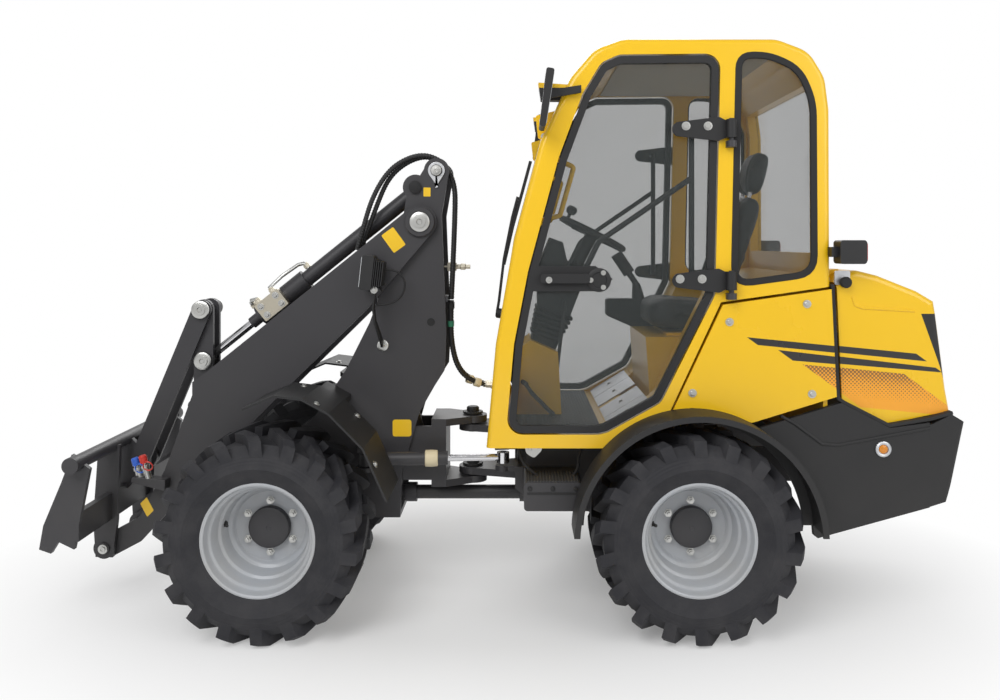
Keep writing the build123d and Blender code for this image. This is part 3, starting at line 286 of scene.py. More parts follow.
def paint(name, colour, dusty, rough, peel=0.06, dust_colour=(0.42, 0.38, 0.31)):
    """Paint whose dust mask is a noise that fades with height above the ground."""
    net, at = started(name)
    z = net.split(at)[2]
    patch = net.noise(3.2, 5.0, 0.62, at)
    low = (1.1 - z).clamp() * dusty
    dust = (low * (patch - 0.34) * 2.4).clamp(0.0, 0.55)
    body = toned(net, at, colour)
    base = net.mix(dust, body, rgba(*dust_colour))
    fine = net.noise(420.0, 2.0, 0.5, at)
    return net.surface(
        Base_Color=base, Roughness=(rough + dust * 0.5 + patch * 0.06).clamp(),
        Normal=net.bump(fine, peel, 0.0006), Coat_Weight=0.25 if rough < 0.4 else 0.0, Coat_Roughness=0.15)


def grained_plastic(name, colour, rough=0.55, scale=900.0, dusty=0.25):
    """Moulded plastic: a fine leather-like grain and faint grey bloom."""
    net, at = started(name)
    grain = net.node("ShaderNodeTexVoronoi", {}, Vector=at, Scale=scale)
    bloom = net.noise(6.0, 4.0, 0.6, at)
    z = net.split(at)[2]
    dust = ((1.0 - z).clamp() * dusty * bloom).clamp(0.0, 0.4)
    base = net.mix(dust, rgba(*colour), rgba(0.3, 0.28, 0.25))
    base = net.mix((bloom * 0.35).clamp(), base, rgba(*[min(1.0, c * 1.5 + 0.004) for c in colour]))
    return net.surface(
        Base_Color=base, Roughness=(rough + bloom * 0.12).clamp(), Normal=net.bump(grain, 0.12, 0.0005))


print("paint and plastic ready")

# %% [markdown]
# The tyre's rings follow the distance from the nearer axle.  Metal is scratched along the
# machine, and the glass carries a film of dust.

# %% Rubber, metal and glass
AXLES_MID, HALF_BASE, AXLE_Z = 0.074, 0.816, 0.39


def tyre_rubber(name):
    """Black rubber, ringed on the sidewall and dusty; rings follow the distance from the axle."""
    net, at = started(name)
    x, y, z = net.split(at)
    along = abs(x - AXLES_MID) - HALF_BASE
    up = z - AXLE_Z
    reach = (along * along + up * up).root()
    ring = ((reach * 520.0).wave() * 0.5 + 0.5) * ((reach > 0.285) * (reach < 0.318))
    line = (abs(reach - 0.262) < 0.0035) + (abs(reach - 0.226) < 0.003)
    patch = net.noise(9.0, 6.0, 0.65, at)
    fine = net.noise(300.0, 3.0, 0.6, at)
    dust = ((patch - 0.42) * 1.6).clamp(0.0, 0.35)
    base = net.mix(dust, rgba(0.014, 0.014, 0.018), rgba(0.074, 0.072, 0.074))
    return net.surface(
        Base_Color=base, Roughness=(0.62 + dust * 0.5 + fine * 0.1).clamp(),
        Normal=net.bump(ring * 0.5 + line + fine * 0.25, 0.55, 0.002))


def metal(name, colour, rough, brushed=0.0, scratch=1.0):
    """Bare or plated metal with long fine scratches when brushed."""
    net, at = started(name)
    stretched = net.node("ShaderNodeMapping", {}, Vector=at, Scale=(14.0, 260.0, 260.0))
    line = net.noise(1.0, 3.0, 0.6, stretched)
    smear = net.noise(22.0, 4.0, 0.6, at)
    base = net.mix((smear * 0.4).clamp(), rgba(*colour), rgba(*[c * 0.82 for c in colour]))
    return net.surface(
        Base_Color=base, Metallic=1.0, Roughness=(rough + smear * 0.14 * scratch + line * brushed).clamp(),
        Normal=net.bump(line, 0.05 * scratch, 0.0005))


def clear_glass(name, tint, alpha):
    """Window glass: mostly see-through, a faint green, with a film of dust near the foot."""
    net, at = started(name)
    haze = net.noise(2.5, 4.0, 0.6, at)
    low = (1.15 - net.split(at)[2]).clamp() * 0.12
    return net.surface(
        Base_Color=rgba(*tint), Roughness=(0.02 + haze * 0.04).clamp(),
        Alpha=(alpha + haze * 0.03 + low).clamp(),
        Specular_IOR_Level=0.35)


print("rubber, metal and glass ready")

# %% [markdown]
# Four finishes change with the place on their piece: the livery's bars and dots, the lamps'
# yellow bracket, the mat's ribs, and the black head of the tilt rod.

# %% Finishes that depend on the place


def striped_paint(name, colour):
    """The side livery: slanted bars that run back and taper, over a field of dots that fades out."""
    net, at = started(name)
    x, y, z = net.split(at)
    back = -0.95 - x
    level = z - 1.115 + back * 0.1
    flank = (abs(y) > 0.525) + (abs(y) > 0.495) * (x < -1.29)
    lean = back + level * 1.6
    run = (lean > 0.0) * (lean < 0.68) * flank
    bar_one = (abs(level) < 0.013) * (lean > 0.02)
    bar_two = (abs(level + 0.042) < 0.02 - back * 0.016) * (lean > 0.08)
    dots = (x * 420.0).wave() * (z * 420.0).wave()
    fade = ((level + 0.07) * -7.0).clamp()
    field = (level < -0.07) * (level > -0.215) * (lean > 0.1) * (lean < 0.5)
    dark_dots = field * (dots > fade * 1.7 - 0.35)
    grille = flank * (z < 1.216) * (z > 0.93) * (x + 1.628 + (1.216 - z) * 0.357 < 0.0)
    patch = net.noise(3.2, 5.0, 0.62, at)
    body = toned(net, at, colour)
    body = net.mix(field * run, body, rgba(0.86, 0.36, 0.02))
    body = net.mix((dark_dots * run * 0.75).clamp(), body, rgba(0.035, 0.03, 0.03))
    body = net.mix(((bar_one + bar_two) * run).clamp(), body, rgba(0.022, 0.021, 0.022))
    body = net.mix(grille, body, rgba(0.012, 0.012, 0.012))
    fine = net.noise(420.0, 2.0, 0.5, at)
    return net.surface(
        Base_Color=body, Roughness=(0.24 + patch * 0.08 + grille * 0.3).clamp(),
        Normal=net.bump(fine, 0.06, 0.0006),
        Coat_Weight=0.25, Coat_Roughness=0.15)


def lamp_black(name, colour):
    """Black lamp housings whose top bracket, forward of the cab and above the lamp, is yellow."""
    net, at = started(name)
    x, y, z = net.split(at)
    bracket = (x > -0.6) * (z > 2.088)
    grain = net.noise(300.0, 3.0, 0.6, at)
    base = net.mix(bracket, rgba(0.014, 0.014, 0.015), rgba(*colour))
    return net.surface(
        Base_Color=base, Roughness=(0.38 + grain * 0.14).clamp(), Normal=net.bump(grain, 0.1, 0.0005))


def ribbed_rubber(name, colour, pitch):
    """A floor mat: ribs across the machine, dusty between them."""
    net, at = started(name)
    x, y, z = net.split(at)
    rib = (x * (2 * math.pi / pitch)).wave() * 0.5 + 0.5
    dust = net.noise(14.0, 5.0, 0.65, at)
    base = net.mix((dust * (1 - rib) * 0.6).clamp(), rgba(*colour), rgba(0.16, 0.15, 0.135))
    return net.surface(
        Base_Color=base, Roughness=(0.55 + dust * 0.25).clamp(), Normal=net.bump(rib, 0.6, 0.003))


def rod_chrome(name, head_x):
    """A plated rod that ends in a black-painted head in front of head_x."""
    net, at = started(name)
    head = net.split(at)[0] > head_x
    smear = net.noise(22.0, 4.0, 0.6, at)
    base = net.mix(head, rgba(0.78, 0.78, 0.8), rgba(0.02, 0.02, 0.021))
    return net.surface(Base_Color=base, Metallic=1 - head, Roughness=(0.1 + smear * 0.12 + head * 0.35).clamp())


print("placed finishes ready")

# %% [markdown]
# Each node takes the finish of its material slot.  The side panels and the hood share the
# striped livery, and the cab lamps and the tilt rod have finishes of their own.

# %% Finishes
YELLOW = (0.86, 0.52, 0.006)
GREY = (0.04, 0.039, 0.043)
FINISHES = {
    "yellow_paint": (paint, YELLOW, 0.25, 0.27),
    "dark_grey_paint": (paint, GREY, 0.2, 0.4, 0.12, (0.16, 0.15, 0.13)),
    "black_plastic": (grained_plastic, (0.011, 0.011, 0.012), 0.5, 900.0, 0.12),
    "seat_vinyl": (grained_plastic, (0.014, 0.014, 0.015), 0.5, 520.0, 0.0),
    "cab_glazing": (clear_glass, (0.075, 0.085, 0.085), 0.24),
    "chrome_rod": (metal, (0.78, 0.78, 0.8), 0.1),
    "tyre_rubber": (tyre_rubber,),
    "rim_silver": (paint, (0.42, 0.44, 0.47), 0.5, 0.36, 0.1),
    "engine_grey": (paint, (0.1, 0.1, 0.1), 0.2, 0.6, 0.2),
    "zinc": (metal, (0.62, 0.62, 0.6), 0.3),
    "alu": (metal, (0.66, 0.67, 0.69), 0.32, 0.15),
    "black_rubber": (grained_plastic, (0.01, 0.01, 0.011), 0.65, 500.0),
    "hose_rubber": (grained_plastic, (0.012, 0.012, 0.013), 0.48, 700.0),
    "zinc_plate": (metal, (0.66, 0.61, 0.5), 0.3),
    "cream_plastic": (grained_plastic, (0.7, 0.6, 0.4), 0.45, 800.0, 0.2),
    "green_tape": (grained_plastic, (0.015, 0.17, 0.09), 0.4, 600.0, 0.0),
    "blue_cap": (grained_plastic, (0.03, 0.12, 0.55), 0.35, 700.0, 0.1),
    "red_cap": (grained_plastic, (0.55, 0.03, 0.02), 0.35, 700.0, 0.1),
    "amber_lens": (grained_plastic, (0.62, 0.22, 0.02), 0.15, 250.0, 0.0),
    "red_lens": (grained_plastic, (0.38, 0.012, 0.01), 0.12, 250.0, 0.0),
    "lamp_lens": (grained_plastic, (0.62, 0.64, 0.66), 0.08, 160.0, 0.0),
    "pale_lining": (grained_plastic, (0.5, 0.48, 0.43), 0.75, 420.0, 0.0),
    "blank_sticker": (paint, (0.9, 0.56, 0.01), 0.1, 0.34, 0.03),
    "floor_mat": (ribbed_rubber, (0.035, 0.035, 0.037), 0.012),
    "mirror_face": (metal, (0.86, 0.88, 0.9), 0.03, 0.0, 0.2),
    "grip_black": (grained_plastic, (0.02, 0.021, 0.024), 0.42, 650.0, 0.0),
}
look = {name: maker(name, *rest) for name, (maker, *rest) in FINISHES.items()}
for entry in frame["record"]["subparts"]:
    node = NODES[entry["node"]]
    node.data.materials.clear()
    node.data.materials.append(look[entry["material_slot"]])
livery = striped_paint("striped_paint", YELLOW)
SPECIAL = {
    "side_panels": livery,
    "hood": livery,
    "cab_lamps": lamp_black("lamp_black", YELLOW),
    "tilt_rod": rod_chrome("rod_chrome", 1.235),
}
for name, material in SPECIAL.items():
    NODES[name].data.materials[0] = material
print("finishes", len(look) + len(SPECIAL) - 1)

# %% [markdown]
# A form is a list of points and a list of faces.  One function turns forms into a piece: it
# welds them, gives the finish, and says which body the piece rides on.

# %% From forms to a piece
SLOTS = {
    "zinc": "chrome_rod", "alu": "chrome_rod", "mirror_face": "chrome_rod", "blank_sticker": "yellow_paint",
    **dict.fromkeys((
        "black_rubber", "cream_plastic", "amber_lens", "red_lens", "lamp_lens", "pale_lining", "floor_mat",
        "grip_black"), "black_plastic")}


def joined(*forms):
    """Several forms as one mesh: face numbers move on by the points before them."""
    points, faces, count = [], [], 0
    for p, f in forms:
        points.append(p)
        faces += [[int(i) + count for i in face] for face in f]
        count += len(p)
    return np.concatenate(points), faces


def make(name, form, finish, body, smooth=True, bevel=0.0, angle=0.6):
    """One form, or a list of them, as a welded mesh with the given finish."""
    points, faces = joined(*form) if isinstance(form, list) else form
    mesh = bpy.data.meshes.new(name)
    mesh.from_pydata(points.tolist(), [], [list(map(int, face)) for face in faces])
    work = bmesh.new()
    work.from_mesh(mesh)
    bmesh.ops.remove_doubles(work, verts=work.verts, dist=1e-5)
    bmesh.ops.dissolve_degenerate(work, edges=work.edges, dist=1e-6)
    bmesh.ops.recalc_face_normals(work, faces=work.faces)
    work.to_mesh(mesh)
    work.free()
    piece = bpy.data.objects.new(name, mesh)
    scene.collection.objects.link(piece)
    mesh.materials.append(look[finish] if isinstance(finish, str) else finish)
    if bevel:
        soft = piece.modifiers.new("soft_edge", "BEVEL")
        soft.width, soft.segments, soft.limit_method, soft.angle_limit = bevel, 2, "ANGLE", 0.7
    if smooth:
        mesh.polygons.foreach_set("use_smooth", [True] * len(mesh.polygons))
        mesh.set_sharp_from_angle(angle=angle)
    if body:
        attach(piece, body)
    return piece


print("slots by finish", len(SLOTS))

# %% [markdown]
# New forms come from three makers: a lathe turns a profile, a prism pushes an outline
# through the machine's width, and a sweep carries a round or flat section along a path.

# %% Three makers


def grid_faces(rows, cols, wrap_rows=False):
    """Four corners for each cell of a grid that is closed along its rows, and across them if asked."""
    i = np.arange(rows if wrap_rows else rows - 1)[:, None]
    j = np.arange(cols)[None, :]
    a, b = i * cols + j, i * cols + (j + 1) % cols
    c, d = ((i + 1) % rows) * cols + (j + 1) % cols, ((i + 1) % rows) * cols + j
    return np.stack([a, b, c, d], -1).reshape(-1, 4)


def lathe(profile, centre, axis, turns=40):
    """Each profile point (r, h) goes to centre + h axis + r (cos t e1 + sin t e2).

    An axis of 1 or -1 points straight out of the machine's left or right side.
    """
    profile, axis = np.asarray(profile, float), np.array((0, axis, 0) if np.isscalar(axis) else axis, float)
    axis /= np.linalg.norm(axis)
    side = np.cross(axis, (0.0, 0.0, 1.0) if abs(axis[2]) < 0.9 else (1.0, 0.0, 0.0))
    side /= np.linalg.norm(side)
    other = np.cross(axis, side)
    t = np.linspace(0, 2 * np.pi, turns, endpoint=False)
    ring = np.cos(t)[:, None] * side + np.sin(t)[:, None] * other
    points = np.asarray(centre) + profile[:, 1, None, None] * axis + profile[:, 0, None, None] * ring[None]
    return points.reshape(-1, 3), grid_faces(len(profile), turns)


def turned(profile, centre, axis, turns):
    """A lathe whose profile is written in millimetres."""
    return lathe(np.array(profile) / 1000, centre, axis, turns)


def prism(outline, low, high, axis=1):
    """An outline of two coordinates pushed along the third from low to high."""
    outline = np.asarray(outline, float)
    n = len(outline)
    points = np.zeros((2, n, 3))
    keep = [k for k in range(3) if k != axis]
    points[:, :, keep] = outline
    points[0, :, axis], points[1, :, axis] = low, high
    faces = [list(range(n)), list(range(n, 2 * n))]
    faces += [[i, (i + 1) % n, n + (i + 1) % n, n + i] for i in range(n)]
    return points.reshape(-1, 3), faces


def sweep(path, section, up=(0.0, 1.0, 0.0), closed=False, swell=1.0):
    """A section (side, up) times swell is carried along a path, mitred at its corners."""
    path, up = np.asarray(path, float), np.asarray(up, float)
    section = np.asarray(section, float) * np.broadcast_to(swell, len(path))[:, None, None]
    ahead = np.roll(path, -1, 0) - path
    behind = path - np.roll(path, 1, 0)
    if not closed:
        ahead[-1], behind[0] = behind[-1], ahead[0]
    ahead /= np.linalg.norm(ahead, axis=1)[:, None]
    behind /= np.linalg.norm(behind, axis=1)[:, None]
    way = ahead + behind
    way /= np.linalg.norm(way, axis=1)[:, None]
    side = np.cross(way, up)
    side /= np.linalg.norm(side, axis=1)[:, None]
    top = np.cross(side, way)
    stretch = 1.0 / np.maximum(0.45, (way * ahead).sum(1))
    side *= stretch[:, None]
    points = path[:, None] + section[:, :, :1] * side[:, None] + section[:, :, 1:] * top[:, None]
    n = section.shape[1]
    faces = grid_faces(len(path), n, wrap_rows=closed).tolist()
    if not closed:
        faces += [list(range(n)), list(range((len(path) - 1) * n, len(path) * n))]
    return points.reshape(-1, 3), faces


def round_section(radius, sides=12):
    t = np.linspace(0, 2 * np.pi, sides, endpoint=False)
    return np.stack([np.cos(t) * radius, np.sin(t) * radius], 1)


def flat_section(width, height):
    return np.array([(-width, -height), (width, -height), (width, height), (-width, height)]) / 2


print("makers ready")

# %% [markdown]
# Wheels: the rim is turned again with the shelves and beads of a pressed dish, and carries a
# dark cap over the hub, six nuts and a valve.

# %% Rims, hub caps and wheel nuts
WHEELS = {"fl": (0.89, 1), "fr": (0.89, -1), "rl": (-0.742, 1), "rr": (-0.742, -1)}
WHEEL_Y = 0.508
DISC_H = -27.5
RIM = [
    (200, 146), (205, 149), (214, 149), (215.2, 153), (213.5, 157), (208, 158), (202, 155), (198.8, 147),
    (197.5, 127), (194, 121), (186, 118), (182.5, 113), (180, 66), (176.5, 58), (167, 53), (163.5, 46),
    (161, 4), (157, -7), (147, -12), (141, -18), (139, -24), (135, DISC_H), (41, DISC_H), (41, -42), (164, -42),
    (190, -155), (214, -155), (214, -149), (200, -149), (200, 146)]
CAP = [(80, DISC_H - 1), (80, -6), (77, -1), (71, 1.5), (10, 2.5), (8, 1), (0, 1)]
NUT = [(16.5, 0), (16.5, 3), (12.5, 3.5), (12.5, 15), (8, 15.5), (8, 25), (0, 26)]
VALVE = [(12, -4), (12, 3), (6.5, 4.5), (6, 26), (4, 28), (0, 28)]
for key, (x, side) in WHEELS.items():
    out = np.array((0.0, side, 0.0))
    mid = np.array((x, side * WHEEL_Y, AXLE_Z))
    rim = make(f"dished_rim_{key}", turned(RIM, mid, out, 96), "rim_silver", f"wheel_{key}")
    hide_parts(f"rim_{key}")
    make(f"hub_cap_{key}", turned(CAP, mid, out, 48), "dark_grey_paint", f"wheel_{key}")
    turn = np.pi / 2 + np.arange(6) * np.pi / 3
    spots = mid + out * DISC_H / 1000 + 0.1 * np.stack([np.cos(turn), 0 * turn, np.sin(turn)], 1)
    nuts = [turned(NUT, spot, out, 6) for spot in spots]
    make(f"wheel_nuts_{key}", nuts, "zinc", f"wheel_{key}")
    valve = turned(VALVE, mid + out * 0.03 + (0.16, 0.0, 0.026), (-0.6, side * 0.8, -0.1), 16)
    make(f"valve_{key}", valve, "black_rubber", f"wheel_{key}")
print("wheels", len(WHEELS))

# %% [markdown]
# Pins: every pivot ends in a plated head with a washer, the brightest spots on the dark arms.

# %% Pin heads
PINS = [
    ("lift_pivot", "front_frame", (0.342, 1.578), 0.186, 0.042),
    ("link_top", "rocker", (1.3, 1.2), 0.09, 0.038),
    ("rod_eye", "rocker", (1.3, 0.975), 0.06, 0.038),
    ("keeper", "front_frame", (0.275, 1.798), 0.152, 0.023),
    ("hitch_pivot", "hitch", (1.667, 0.206), 0.206, 0.02),
]
HEAD = [(1, -0.5), (1, 6), (0.94, 7.5), (0.62, 7.8), (0.6, 14), (0.3, 14.5), (0.22, 11), (0, 11)]
for name, body, (x, z), reach, radius in PINS:
    profile = np.array(HEAD) * (radius, 0.001)
    heads = [lathe(profile, (x, side * reach, z), side) for side in (1, -1)]
    make(f"pin_heads_{name}", heads, "zinc", body)
print("pin heads", 2 * len(PINS))

# %% [markdown]
# Small pieces are placed by what the photograph shows: a pixel and a depth give one point,
# and the depth is that of the panel which carries the piece.

# %% From pixel to point
SIDES = ((1, "left"), (-1, "right"))


def across(side, low, high):
    """The y range between two depths on one side of the machine, in rising order."""
    return sorted((side * low, side * high))


def seen(px, py, y):
    """The point at depth y seen at a pixel: similar triangles from the eye."""
    s = (EYE[1] - y) / FOCAL_PX
    return np.array((EYE[0] + (VANISH_PX[0] - px) * s, y, EYE[2] - (py - VANISH_PX[1]) * s))


def seen_line(spots, y):
    """The points at one depth seen at several pixels."""
    return np.array([seen(px, py, y) for px, py in spots])


def bolt(centre, axis, radius):
    """A hexagon head on a washer: a lathe of six turns would lose the washer, so twelve."""
    profile = [(1.7, -0.05), (1.7, 0.28), (1.05, 0.32), (1.05, 0.9), (0.85, 1.08), (0, 1.08)]
    return lathe(np.array(profile) * radius, centre, axis, 12)


def eased(outline, radius, steps=6):
    """An outline whose corners are arcs of parabolas: (1-t)^2 a + 2t(1-t) corner + t^2 b."""
    outline = np.asarray(outline, float)
    before, after = np.roll(outline, 1, 0) - outline, np.roll(outline, -1, 0) - outline
    room = np.minimum(np.linalg.norm(before, axis=1), np.linalg.norm(after, axis=1)) * 0.45
    cut = np.minimum(room, radius)[:, None]
    a = outline + before / np.linalg.norm(before, axis=1)[:, None] * cut
    b = outline + after / np.linalg.norm(after, axis=1)[:, None] * cut
    t = np.linspace(0, 1, steps)[None, :, None]
    return ((1 - t) ** 2 * a[:, None] + 2 * t * (1 - t) * outline[:, None] + t ** 2 * b[:, None]).reshape(-1, 2)


def rect(x_low, z_low, x_high, z_high):
    """Four corners of an upright rectangle."""
    return np.array([(x_low, z_low), (x_high, z_low), (x_high, z_high), (x_low, z_high)])


def slab(outline, ease, side, low, high):
    """A prism with eased corners between two depths on one side of the machine."""
    return prism(eased(outline, ease), *across(side, low, high))


def side_loop(outline, y):
    """A loop of the side view, set at one depth."""
    outline = np.asarray(outline, float)
    return np.stack([outline[:, 0], np.full(len(outline), y), outline[:, 1]], 1)


print("the picture's middle at depth 0 is", seen(FRAME_W / 2, FRAME_H / 2, 0.0).round(3))

# %% [markdown]
# Bolts show bright on the yellow panels, on the doors' hinge arms and latches, and along the
# front fenders, where each sits square on its own fold of the sheet.

# %% Bolts on panels, hinge arms and fenders
TYRE_R, FENDER_SHEET, FENDER_SEAT = 0.39, 0.008, 0.992
FENDER_BOLTS = [(101.0, 0.1376, 0.36), (112.0, 0.1355, 0.58), (128.0, 0.1182, 0.36), (148.0, 0.1011, 0.58)]
PANEL_BOLTS = [(729.5, 322), (807, 304), (692.5, 393), (812, 394)]
ARM_BOLTS = [(686, 126), (708, 126), (680, 279), (702, 279)]
for side, name in SIDES:
    flip = np.array((1.0, side, 1.0))
    heads = [bolt(spot, side, 0.0095) for spot in seen_line(PANEL_BOLTS, 0.53) * flip]
    make(f"panel_bolts_{name}", heads, "zinc", "rear_frame")
    heads = [bolt(spot, side, 0.01) for spot in seen_line(ARM_BOLTS, 0.544) * flip]
    make(f"arm_bolts_{name}", heads, "zinc", f"door_{name}")
    latch = seen(599, 280, 0.529) * flip
    disc = turned([(46, -4), (46, 6), (41, 9), (30, 9), (27, 6), (0, 6)], latch, side, 40)
    make(f"latch_disc_{name}", disc, "black_plastic", f"door_{name}")
    turn = np.arange(3) * 2 * np.pi / 3
    spots = latch + np.stack([0.032 * np.cos(turn), 0 * turn + side * 0.0088, 0.032 * np.sin(turn)], 1)
    heads = [bolt(spot, side, 0.0058) for spot in spots]
    heads.append(bolt(seen(549, 280, 0.554) * flip, side, 0.0075))
    make(f"latch_screws_{name}", heads, "zinc", f"door_{name}")
    heads = []
    for degrees, room, y in FENDER_BOLTS:
        way = np.radians(degrees)
        out = np.array((math.cos(way), 0.0, math.sin(way)))
        far = (TYRE_R + FENDER_SHEET + room) * FENDER_SEAT
        heads.append(bolt(np.array((WHEELS["fl"][0], side * y, AXLE_Z)) + out * far, out, 0.0085))
    make(f"fender_bolts_{name}", heads, "zinc", "front_frame")
print("bolts on both sides", 2 * len(PANEL_BOLTS + ARM_BOLTS + FENDER_BOLTS))

# %% [markdown]
# Black rubber runs round the fixed windows and along the joints of the side panels; it is
# what draws the machine's graphic outline in the photograph.

# %% Window and panel seals
QUARTER = [(-919, 2210), (-1036, 2210), (-1150, 2157), (-1204, 2034), (-1208, 1372), (-900, 1330)]
SEAM = [(-1279, 1330), (-1286, 1180), (-1300, 893), (-1322, 878), (-1498, 788), (-1660, 815), (-1740, 838)]
SCREEN = [(8, 1055), (-61, 1504), (-161, 1877), (-250, 2066)]
SEALS = [
    ("quarter_seal", eased(np.array(QUARTER) / 1000, 0.07), 0.5265, (0.026, 0.013), True, 0.003),
    ("panel_seal", np.array(SEAM) / 1000, 0.516, (0.014, 0.03), False, 0.003),
    ("screen_seal", np.array(SCREEN) / 1000, 0.445, (0.012, 0.026), False, 0.002),
]
for part, outline, y, section, closed, bevel in SEALS:
    for side, name in SIDES:
        strip = sweep(side_loop(outline, side * y), flat_section(*section), closed=closed)
        make(f"{part}_{name}", strip, "black_rubber", "rear_frame", bevel=bevel)
print("seals", 2 * len(SEALS))

# %% [markdown]
# Mouldings: the counterweight and the hood each carry one raised crease, with a marker lamp,
# a hood catch and the rear lamp's lens beside them.

# %% Creases, side marker, hood catch
WEIGHT_CREASE = [(781, 416), (795, 424), (822, 444), (838, 445), (930, 428)]
HOOD_CREASE = [(852, 297), (855, 305), (862, 308), (914, 311)]
for side, name in SIDES:
    flip = np.array((1.0, side, 1.0))
    crease = sweep(seen_line(WEIGHT_CREASE, 0.529) * flip, round_section(0.0065, 10))
    make(f"weight_crease_{name}", crease, "black_plastic", "rear_frame")
    crease = sweep(seen_line(HOOD_CREASE, 0.5035) * flip, round_section(0.006, 10))
    make(f"hood_crease_{name}", crease, livery, "hood")
    spot = seen(883, 449, 0.53) * flip
    ring = turned([(30, -1), (30, 6), (25, 9), (19, 7), (18, 2), (12, 2)], spot, side, 36)
    make(f"marker_ring_{name}", ring, "alu", "rear_frame")
    lens = turned([(18, 1), (16, 5), (10, 8), (0, 9)], spot, side, 28)
    make(f"marker_lens_{name}", lens, "amber_lens", "rear_frame")
    spot = seen(842, 278, 0.505) * flip
    plate = slab(spot[[0, 2]] + rect(-0.03, -0.026, 0.03, 0.028), 0.008, side, 0.503, 0.509)
    make(f"catch_plate_{name}", plate, "alu", "hood", smooth=False)
    spot += (-0.006, side * 0.004, -0.016)
    knob = turned([(10, 0), (10, 8), (21, 10), (22, 26), (18, 31), (0, 32)], spot, side, 28)
    make(f"catch_knob_{name}", knob, "black_rubber", "hood")
    lens = prism(eased(rect(side * 0.526, 1.42, side * 0.59, 1.49), 0.01), -1.3895, -1.384, axis=0)
    make(f"rear_lens_{name}", lens, "red_lens", "rear_frame", smooth=False)
print("mouldings and markers")

# %% [markdown]
# The tower's faces carry the brightest details: a teardrop keeper plate, a boss round the
# pivot, a cap, a plug, and plain stickers, left blank.

# %% Tower plates and stickers
angle = np.radians(np.linspace(-125.0, 125.0, 40))
drop = np.stack([0.275 + 0.036 * np.sin(angle), 1.798 + 0.036 * np.cos(angle)], 1)
drop = np.concatenate([drop, [(0.27, 1.728), (0.277, 1.726)]])
tilted = np.radians(-36.0)
turn = np.array([(math.cos(tilted), math.sin(tilted)), (-math.sin(tilted), math.cos(tilted))])
corner = rect(-0.031, -0.046, 0.031, 0.046) @ turn
ON_BOOM, ON_TOWER = (0.1718, 0.1726), (0.1398, 0.1406)
for side, name in SIDES:
    plate = prism(drop, *across(side, 0.1405, 0.1475))
    make(f"keeper_plate_{name}", plate, "alu", "front_frame", smooth=False, bevel=0.0015)
    boss = turned([(64, -2), (64, 10), (60, 14), (44, 14)], (0.342, side * 0.172, 1.578), side, 48)
    make(f"pivot_boss_{name}", boss, "dark_grey_paint", "boom")
    cap = turned([(27, 0), (27, 2), (24, 3.5), (0, 3.5)], (0.365, side * 0.1515, 1.727), side, 32)
    make(f"recess_cap_{name}", cap, "black_rubber", "front_frame")
    spot = seen(431, 322, 0.14) * (1, side, 1)
    hole = turned([(17, -0.5), (17, 1.5), (12, 1.5), (0, 0.6)], spot, side, 28)
    make(f"tower_plug_{name}", hole, "black_rubber", "front_frame")
    sticker = slab(seen(393.5, 240, 0.172)[[0, 2]] + corner, 0.006, side, *ON_BOOM)
    make(f"boom_sticker_{name}", sticker, "blank_sticker", "boom", smooth=False)
    sticker = slab(seen(147, 507, 0.172)[[0, 2]] + corner * (0.55, 0.75), 0.004, side, *ON_BOOM)
    make(f"toe_sticker_{name}", sticker, "blank_sticker", "boom", smooth=False)
    small = seen(427, 192, 0.14)[[0, 2]] + rect(-0.015, -0.019, 0.015, 0.019)
    wide = seen(410, 428, 0.14)[[0, 2]] + rect(-0.006, -0.036, 0.074, 0.036)
    stickers = [slab(small, 0.003, side, *ON_TOWER), slab(wide, 0.012, side, *ON_TOWER)]
    make(f"tower_stickers_{name}", stickers, "blank_sticker", "front_frame", smooth=False)
print("tower details")

# %% [markdown]
# Work lamps: a deep cast housing with cooling fins behind and a pale lens in front, held by
# a curved foot bolted to the tower.  They stand for the plain solids.

# %% Work lamps
LAMP_TILT = math.atan2(0.01, 0.09)
LAMP_FOOT = [
    (520, 250, 1300), (522, 250, 1270), (528, 246, 1220), (522, 236, 1160), (506, 205, 1095), (504, 165, 1064),
    (504, 140.5, 1062)]


def lamp_outline(back, front, half):
    """Four corners in the lamp's own axes, turned with it and set at its middle."""
    c, s = math.cos(LAMP_TILT), math.sin(LAMP_TILT)
    return rect(back, -half, front, half) @ np.array([(c, s), (-s, c)]) + (0.5275, 1.365)


